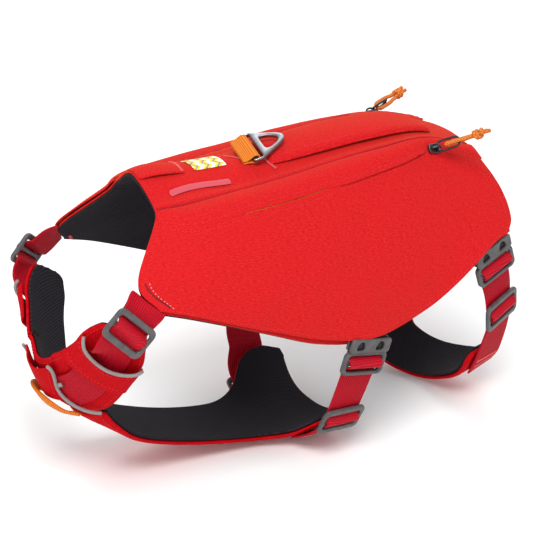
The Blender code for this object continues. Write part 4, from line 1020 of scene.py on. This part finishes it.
def latchHump(rows, at):
    return at, 5.8, plateLift(rows, at, latchSize["short"]) + latchSize["wall"] + 1.6


def buildStrap(name, rows, humps, look, wall=1.5, spacing=1.1, across=14, tacks=(), **ride):
    shares, lengths = arcTable(rows)
    total = lengths[-1]

    def place(a, b):
        stops = a * total
        centre, _, side, out, half = bandFrame(rows, np.interp(stops, lengths, shares))
        rise = np.zeros(len(a))
        for at, reach, height in humps:
            away = stops - np.interp(at, shares, lengths)
            rise += np.where(np.abs(away) < reach, height * np.cos(pi * np.clip(away / reach, -1, 1) / 2) ** 2, 0)
        return centre + out * rise[:, None] + side * (half * (1 - 2 * b))[:, None]

    for stop in tacks:
        sewn["tack"].append(lineOn(place, stop / total, np.linspace(0.1, 0.9, 30), wall + 0.15))
    steps = int(total / spacing)
    strap = clothShell(name, place, (steps, across), wall, look, **ride)
    if humps:
        strap.data.materials.append(crossWeb)
        corners = (steps + 1) * (across + 1)
        for face in strap.data.polygons:
            first = face.vertices[0]
            stop = (first % corners) // (across + 1) / steps * total
            if first < 2 * corners and any(abs(stop - np.interp(at, shares, lengths)) < reach * 0.95
                                           for at, reach, _ in humps):
                face.material_index = 1
    return strap


def strapSeat(rows, at):
    centre, run, side, out, _ = bandFrame(rows, at)
    return centre[0], run[0], side[0], out[0]


def buildPlate(name, size, inner, rows, at, dish, **ride):
    # a moulded frame with two slots beside a middle bar; its ends bow a little
    centre, run, side, out = strapSeat(rows, at)
    lift = plateLift(rows, at, size["short"])
    slotWide = (inner - 3.0) / 2
    outlines = [barrel(size["long"], size["short"], 4.2, dish)]
    outlines += [roundedBox(27.4, slotWide, 2.0, (0.0, end * (3.0 + slotWide) / 2)) for end in (-1, 1)]
    mesh = plateMesh(name, outlines, size["wall"], 1.1)
    return meshPiece(name, mesh, placed(centre + out * (lift + size["wall"] / 2), -side, -run), plastic, **ride)


def barrel(wide, high, corner, dish):
    # a rounded outline whose long sides swell at their middles
    return [(x, y * (1 + dish * (1 - (2 * x / wide) ** 2) / high)) for x, y in roundedBox(wide, high, corner, each=8)]


def buildSocket(name, rows, at, **ride):
    centre, run, side, out = strapSeat(rows, at)
    above = (latchSize["short"] + socketSize["short"]) / 2 + gap
    middle = centre + out * (plateLift(rows, at, latchSize["short"]) + latchSize["wall"] / 2) + run * above
    body = roundedBox(socketSize["long"], socketSize["short"], 2.2)
    windows = []
    for end in (-1, 1):
        x, y = end * (socketSize["long"] / 2 - 8.6), 0.0
        windows.append([(x + end * p, y + q) for p, q in smoothLoop(
            [(-2.8, 2.8), (0.4, 3.3), (3.2, 2.9), (3.5, 0.4), (2.0, -2.6), (-0.4, -3.1), (-2.2, -0.7)], 5)])
    face = plateMesh(name, [body] + windows, 2.2, 0.7)
    core = plateMesh(name + "Core", [roundedBox(socketSize["long"] - 0.8, socketSize["short"] - 0.8, 1.8)], 2.4, 0.3)
    frameMatrix = placed(middle, -side, -run)
    back = face.copy()
    face.transform(Matrix.Translation((0, 0, 2.1 * mm)))
    back.transform(Matrix.Translation((0, 0, -2.1 * mm)))
    joined = bmesh.new()
    for part in (face, back):
        joined.from_mesh(part)
    joined.to_mesh(face)
    joined.free()
    meshPiece(name, face, frameMatrix, plastic, **ride)
    # the core is the acetal painted near black as the shade inside the socket behind its windows
    meshPiece(name + "Core", core, frameMatrix, shadedPlastic, slot="plastic")


def buildTab(name, u, rows, at, **ride):
    centre, run, across, out = strapSeat(rows, at)
    reach = latchSize["short"] / 2 + socketSize["short"] + 4 * gap
    foot = centre + run * reach + out * (plateLift(rows, at, latchSize["short"]) + 0.4)
    side = -1.0 if centre[1] < 0 else 1.0

    def place(a, b):
        offset = web["half"] * (2 * b - 1)
        column = u + offset * across[0] / 245.0
        share = np.minimum(a / (2 / 3), 1.0)
        top = onSaddle(column, side * (0.74 + 0.12 * share), 0.8)
        down = foot + across * offset[:, None]
        mix = np.clip((a - 2 / 3) * 3, 0, 1)[:, None]
        return top * (1 - mix) + down * mix

    clothShell(name, place, (24, 14), 1.0, redWeb, **ride)


def rearRows(word, side):
    foot = [padRow(girthPoint, t, 0.0, 2 * web["seat"]) for t in rear["foot"][word]]
    return foot + onSide(rear[word] + rear["top"], side)


def buildStraps(side, word):
    title = word.title()
    rows = onSide(shoulder[word] + chestRun, side)
    buildStrap("shoulderStrap" + title, rows, [adjusterHump(rows, shoulder["seat"])], redWeb,
               slot="webbing", stands=["shoulder_strap_" + word])
    buildPlate("shoulderAdjuster" + title, adjusterSize, 13.8, rows, shoulder["seat"], 1.6,
               slot="plastic", stands=["shoulder_adjuster_" + word])
    sets = (("belly", belly, onSide(belly[word] + belly["top"], side), belly["seat"][word]),
            ("rear", rear, rearRows(word, side), rear["seat"]))
    for kind, plan, rows, seatAt in sets:
        buildStrap(kind + "Strap" + title, rows, [adjusterHump(rows, seatAt), latchHump(rows, plan["latch"])],
                   redWeb, tacks=(3.0, 7.5, 12.0), slot="webbing", stands=[kind + "_strap_" + word])
        buildPlate(kind + "Adjuster" + title, adjusterSize, 13.8, rows, seatAt, 1.6,
                   slot="plastic", stands=[kind + "_adjuster_" + word])
        buildPlate(kind + "Latch" + title, latchSize, 12.0, rows, plan["latch"], 1.0,
                   slot="plastic", stands=[kind + "_latch_" + word])
        buildSocket(kind + "Socket" + title, rows, plan["latch"],
                    slot="plastic", stands=[kind + "_socket_" + word])
        buildTab(kind + "Tab" + title, plan["tab"], rows, plan["latch"],
                 slot="webbing", stands=[kind + "_tab_" + word])


# what lies on the chest pad
cover = {"lift": 0.6 + 1.5 + 0.6, "half": 0.060, "flare": 0.050}


def buildChestCover():
    def panelEdge(b):
        return cover["half"] + cover["flare"] * b * b

    def panel(a, b):
        across = 0.84 - 1.26 * b
        t = 0.5 + (2 * a - 1) * panelEdge(across)
        return onPad(chestPoint, t, across, cover["lift"] + 1.4 * np.sin(pi * a))

    for a in (0.08, 0.92):
        sewn["seam"].append(lineOn(panel, a, np.linspace(0.03, 0.97, 60), 1.25))
    clothShell("chestPanel", panel, (40, 40), 1.2, chestCloth, (39, 32, 830, "chestShell"),
               slot="face_cloth", stands=["chest_panel"])
    for side, word in sides:
        b = np.linspace(-0.96, 0.88, 50)
        points = onPad(chestPoint, 0.5 + side * (panelEdge(b) + 0.012 + 0.016 * b * b), b,
                       cover["lift"] + 1.3 + 2.0 * np.maximum(b, 0) ** 2)
        tube("chestPiping" + word.title(), points, 1.2, piping, slot="piping", stands=["chest_piping_" + word])
        buildSleeve(side, word)
        buildNub(side, word)
    loop = [(-136.0, -18.0, -151.5, 0.1, -0.4, -0.9, 3.2), (-144.5, -14.0, -149.0, -0.5, -0.3, -0.8, 3.2),
            (-151.0, -5.0, -144.5, -0.8, -0.2, -0.5, 3.2), (-153.5, 5.0, -141.0, -0.85, 0.2, -0.45, 3.2),
            (-150.5, 13.5, -141.0, -0.6, 0.4, -0.6, 3.2), (-141.5, 18.0, -146.5, -0.2, 0.4, -0.9, 3.2)]
    buildStrap("frontLoop", loop, [], orangeWeb, 2.5, 0.9, 8, slot="orange_web", stands=["front_loop"])


def buildNub(side, word):
    # the cord's end that pokes out beside the panel, with painted shade for the dark of its hole
    t, b = np.array([0.412]), np.array([0.20])
    flip = np.array((1.0, -side, 1.0))
    foot, facing = onPad(chestPoint, t, b, cover["lift"] - 1.6)[0], outOf(chestPoint, t, b, -1)[0]
    run = unit(onPad(chestPoint, t + 0.01, b)[0] - onPad(chestPoint, t - 0.01, b)[0])
    side2 = np.cross(facing, run)
    shade = [foot - run * 2.4 + facing * 0.3 + side2 * 0.3, foot + facing * 0.4, foot + run * 1.6 + facing * 0.2]
    # a dark tube in the zip tape's finish is painted shade in the cord's hole
    tube("nubShade" + word.title(), smoothPath(np.array(shade) * flip, 8), 2.6, zipTape, 12, slot="face_cloth")
    line = [foot - run * 1.6 + facing * 1.5, foot - run * 0.2 + facing * 2.0, foot + run * 1.0 + facing * 2.2]
    tube("cordNub" + word.title(), smoothPath(np.array(line) * flip, 8), 1.7, piping, 12, slot="piping")


def sleeveTop(b):
    return 0.147 + 0.073 * (1 - b * b) - 0.018 * b


def buildSleeve(side, word):
    def lift(a, b):
        return 0.8 + (3.4 + 2.8 * (1 - a)) * (1 - np.abs(b) ** 8)

    def sleeve(a, b):
        across = 1 - 2 * b
        upper, lower = sleeveTop(across), 0.288 + 0.012 * (1 - across**2)
        t = upper + (lower - upper) * a
        points = onPad(chestPoint, t, across, lift(a, across))
        swell = 0.3 * waves(points, 9, 4.0 + side) * (1 - across**8)
        return points + outOf(chestPoint, t, across, -1) * swell[:, None]

    for a in (0.10, 0.86):
        sewn["seam"].append(lineOn(mirrored(sleeve, side), a, np.linspace(0.04, 0.96, 80), 1.25))
    clothShell("armSleeve" + word.title(), mirrored(sleeve, side), (36, 60), 1.2, chestCloth,
               (24, 56, 1000, "chestShell"), slot="face_cloth", stands=["arm_sleeve_" + word])
    b = np.linspace(1, -1, 60)
    points = onPad(chestPoint, sleeveTop(b) - 0.012, b, lift(0, b) + 1.1 + 3.0 * b**4)
    tube("sleevePiping" + word.title(), points * (1, -side, 1), 1.2, piping, slot="piping",
         stands=["sleeve_piping_" + word])


# leash ring and the webbing that holds it
ring = {
    "pivot": (3.0, -1.0, -1.6), "bar": (4.0, 26.0, 5.0), "reach": (0.953, -0.190, 0.236), "wall": 3.0,
    "outline": ((-1.5, -15.0), (4.6, -15.2), (9.0, -13.2), (15.5, -9.3), (21.5, -5.6), (24.4, -2.9), (25.2, 0.0),
                (24.4, 2.9), (21.5, 5.6), (15.5, 9.3), (9.0, 13.2), (4.6, 15.2), (-1.5, 15.0), (-1.5, 10.0),
                (-1.5, 3.0), (-1.5, -3.0), (-1.5, -10.0)),
    "eye": ((9.8, -5.4), (11.2, -7.1), (14.0, -6.7), (17.4, -5.0), (20.0, -2.6), (20.9, 0.0), (20.0, 2.6), (17.4, 5.0),
            (14.0, 6.7), (11.2, 7.1), (9.8, 5.4), (9.6, 0.0)),
}


def buildRing():
    bar = unit(np.array(ring["bar"]))
    reach = unit(np.array(ring["reach"]))
    forward = unit(reach - bar * (reach @ bar))
    slotHole = roundedBox(3.9, 27.8, 1.5, (1.5 + 1.95, 0.0))
    mesh = plateMesh("leashRing", [smoothLoop(ring["outline"]), smoothLoop(ring["eye"]), slotHole], ring["wall"], 0.8)
    meshPiece("leashRing", mesh, placed(ring["pivot"], forward, bar), ringMetal, "leash_ring", "metal", ["leash_ring"])
    up = np.cross(forward, bar)
    turns = np.radians(np.linspace(112, -112, 40))
    profile = np.concatenate(([(-8.0, 0.15), (-6.0, 0.3), (-4.0, 0.6)],
                              np.stack((2.3 * np.cos(turns), 2.3 * np.sin(turns)), 1),
                              [(-4.0, -0.6), (-6.0, -0.3), (-8.0, -0.15)]))

    def fold(a, b):
        x, z = (np.interp(a, np.linspace(0, 1, len(profile)), profile[:, k]) for k in (0, 1))
        return (np.array(ring["pivot"]) + forward * x[:, None] + up * z[:, None]
                + bar * (25.0 * (b - 0.5))[:, None])

    clothShell("ringWebbing", fold, (46, 20), 1.3, orangeWeb, slot="orange_web", stands=["ring_webbing"])


# zip pulls: slider, wire loop, doubled cord and its knot
pull = {
    "u": 0.85, "rest": {"left": 57.0, "right": 25.0}, "pivotHeight": 4.2, "wire": 0.8, "cord": 1.4,
    "loop": ((0.0, -2.3), (0.0, 2.3), (1.4, 3.4), (12.0, 3.4), (14.3, 2.3), (15.2, 0.0), (14.3, -2.3), (12.0, -3.4),
             (1.4, -3.4)),
    "strand": ((5.4, 0.0), (6.0, 1.5), (7.6, 2.4), (15.5, 2.5), (19.0, 2.2), (22.0, 1.65), (24.8, 1.6)),
    "knot": 29.3, "tails": ((36.5, 2.6), (37.5, -0.6)),
}


def buildZipPull(side, word):
    title, body = word.title(), "zip_pull_" + word
    u, v = np.array([pull["u"]]), np.array([zipV])
    lift = float(pocketLift(u, v)[0]) + saddle["shellWall"] + 3 * gap
    foot = onSaddle(u, -v, lift)[0]
    out = outOf(saddlePoint, u, -v, 1)[0]
    run = unit(onSaddle(u + 0.01, -v)[0] - onSaddle(u - 0.01, -v)[0])
    flip = np.array((1.0, -side, 1.0))
    foot, out, run = foot * flip, out * flip, run * flip
    across = np.cross(out, run)

    def local(points, origin, forward, sideways, up):
        points = np.asarray(points, float)
        return origin + points[:, :1] * forward + points[:, 1:2] * sideways + points[:, 2:] * up

    base = plateMesh("zipSlider" + title, [smoothLoop([
        (-4.4, -2.2), (-3.0, -3.0), (1.0, -3.4), (4.2, -3.3), (4.4, -1.4), (3.4, 0.0), (4.4, 1.4), (4.2, 3.3),
        (1.0, 3.4), (-3.0, 3.0), (-4.4, 2.2)], 4)], 2.2, 0.6)
    base.transform(Matrix.Translation((0, 0, 1.2 * mm)))
    meshPiece("zipSlider" + title, base, placed(foot, run, across), sliderMetal, "harness", "metal",
              ["zip_slider_" + word])
    arch = smoothPath([(-3.4, 0, 2.2), (-2.4, 0, 4.6), (0.4, 0, 5.7), (3.2, 0, 5.2), (4.2, 0, 3.4), (4.2, 0, 2.2)], 24)
    tube("zipBridge" + title, local(arch, foot, run, across, out), 0.7, sliderMetal, 8, slot="metal")

    pivot = foot + out * pull["pivotHeight"] + run * 2.0
    turn = radians(pull["rest"][word])
    forward = run * cos(turn) + out * sin(turn)
    up = np.cross(forward, across)
    wire = smoothLoop([(x, y, 0.0) for x, y in pull["loop"]], 6)
    tube("wireLoop" + title, local(wire, pivot, forward, across, up), pull["wire"], wireMetal, 10, True,
         body=body, slot="metal", stands=["zip_pull_" + word])
    strand = [(x, 0.0, z) for x, z in pull["strand"]]
    rope = smoothPath([(x, y, -z) for x, y, z in reversed(strand[1:])] + strand, 90)
    ropeLine = local(rope, pivot, forward, across, up)
    cord = tube("pullCord" + title, ropeLine, pull["cord"], cordBraid, 12, body=body, slot="orange_cord",
                stands=["pull_cord_" + word])
    centre = pull["knot"]
    winds = np.linspace(0, 1, 90)
    wrap = np.stack((centre - 2.9 + 5.6 * winds + 0.5 * np.sin(winds * 9), 2.35 * np.cos(winds * 4.4 * pi + 0.6),
                     2.35 * np.sin(winds * 4.4 * pi + 0.6)), 1)
    parts = [tubeParts(local(wrap, pivot, forward, across, up), 1.4, 10)]
    for end in (-1, 1):
        core = smoothPath([(24.4, 0, 1.5 * end), (27.5, 0.5 * end, 0.8 * end), (31.5, -0.5 * end, 0.6 * end),
                           (33.6, 0, 1.2 * end)], 20)
        parts.append(tubeParts(local(core, pivot, forward, across, up), 1.3, 10))
    for x, z in pull["tails"]:
        tail = smoothPath([(centre + 2.2, 0, z * 0.4), (centre + 4.5, 0.2, z * 0.7), (x, 0, z)], 14)
        size = np.linspace(1.35, 1.4, 14)
        size[-1] = 1.3
        parts.append(tubeParts(local(tail, pivot, forward, across, up), size, 10))
    vertices, faces, flat = joinParts(parts)
    knot = newPiece("pullKnot" + title, vertices, faces, cordBraid, flat, body=body, slot="orange_cord",
                    stands=["pull_knot_" + word])


buildSaddle()
for side, word in sides:
    buildPocket(side, word)
    buildZipPull(side, word)
    buildStraps(side, word)
buildYoke()
buildRing()
buildPads()
buildChestCover()
for kind in threads:
    sewRows(kind)
print("pieces made")


# camera, floor and lights
view = {"target": (20.0, 0.0, -94.0), "azimuth": -31.0, "elevation": 25.0, "away": 1500.0, "lens": 147.0}


def buildStage():
    turn, rise = radians(view["azimuth"]), radians(view["elevation"])
    right = np.array((cos(turn), sin(turn), 0.0))
    back = np.array((sin(turn) * cos(rise), -cos(turn) * cos(rise), sin(rise)))
    eye = np.array(view["target"]) + view["away"] * back
    camera = bpy.data.objects.new("camera", bpy.data.cameras.new("camera"))
    camera.data.lens, camera.data.sensor_width = view["lens"], 36.0
    camera.data.clip_end = 20.0
    camera.matrix_world = Matrix.Translation(Vector(toWorld(eye))) @ Matrix(
        (right, np.cross(back, right), back)).transposed().to_4x4()
    bpy.context.scene.collection.objects.link(camera)
    bpy.context.scene.camera = camera

    low = solidBox[0][2] - 0.001
    mesh = bpy.data.meshes.new("floor")
    mesh.from_pydata([(-6, -6, low), (6, -6, low), (6, 6, low), (-6, 6, low)], [], [(0, 1, 2, 3)])
    floor = bpy.data.objects.new("floor", mesh)
    look, tree, shader = newFinish("matt paper floor", {"Roughness": 0.9, "Base Color": hexColour("#FBFBFA")})
    mesh.materials.append(look)
    bpy.context.scene.collection.objects.link(floor)

    lamps = {"key": ((-0.5, -0.9, 1.5), 29.0, 1.1), "fill": ((-1.5, -0.9, 0.4), 6.0, 1.2),
             "back": ((0.8, 1.2, 1.1), 11.0, 1.2)}
    for name, (spot, power, size) in lamps.items():
        lamp = bpy.data.lights.new(name, "AREA")
        lamp.energy, lamp.size, lamp.shape = power, size, "DISK"
        holder = bpy.data.objects.new(name, lamp)
        holder.location = spot
        holder.rotation_euler = (Vector((0.02, 0, -0.09)) - Vector(spot)).to_track_quat("-Z", "Y").to_euler()
        bpy.context.scene.collection.objects.link(holder)
    world = bpy.data.worlds.new("studio")
    world.use_nodes = True
    world.node_tree.nodes["Background"].inputs[0].default_value = hexColour("#F6F6F8")
    world.node_tree.nodes["Background"].inputs[1].default_value = 0.66
    bpy.context.scene.world = world
    bpy.context.scene.view_settings.view_transform = "Standard"      # keeps the dye's red as deep as it is


buildStage()
print("stage made")
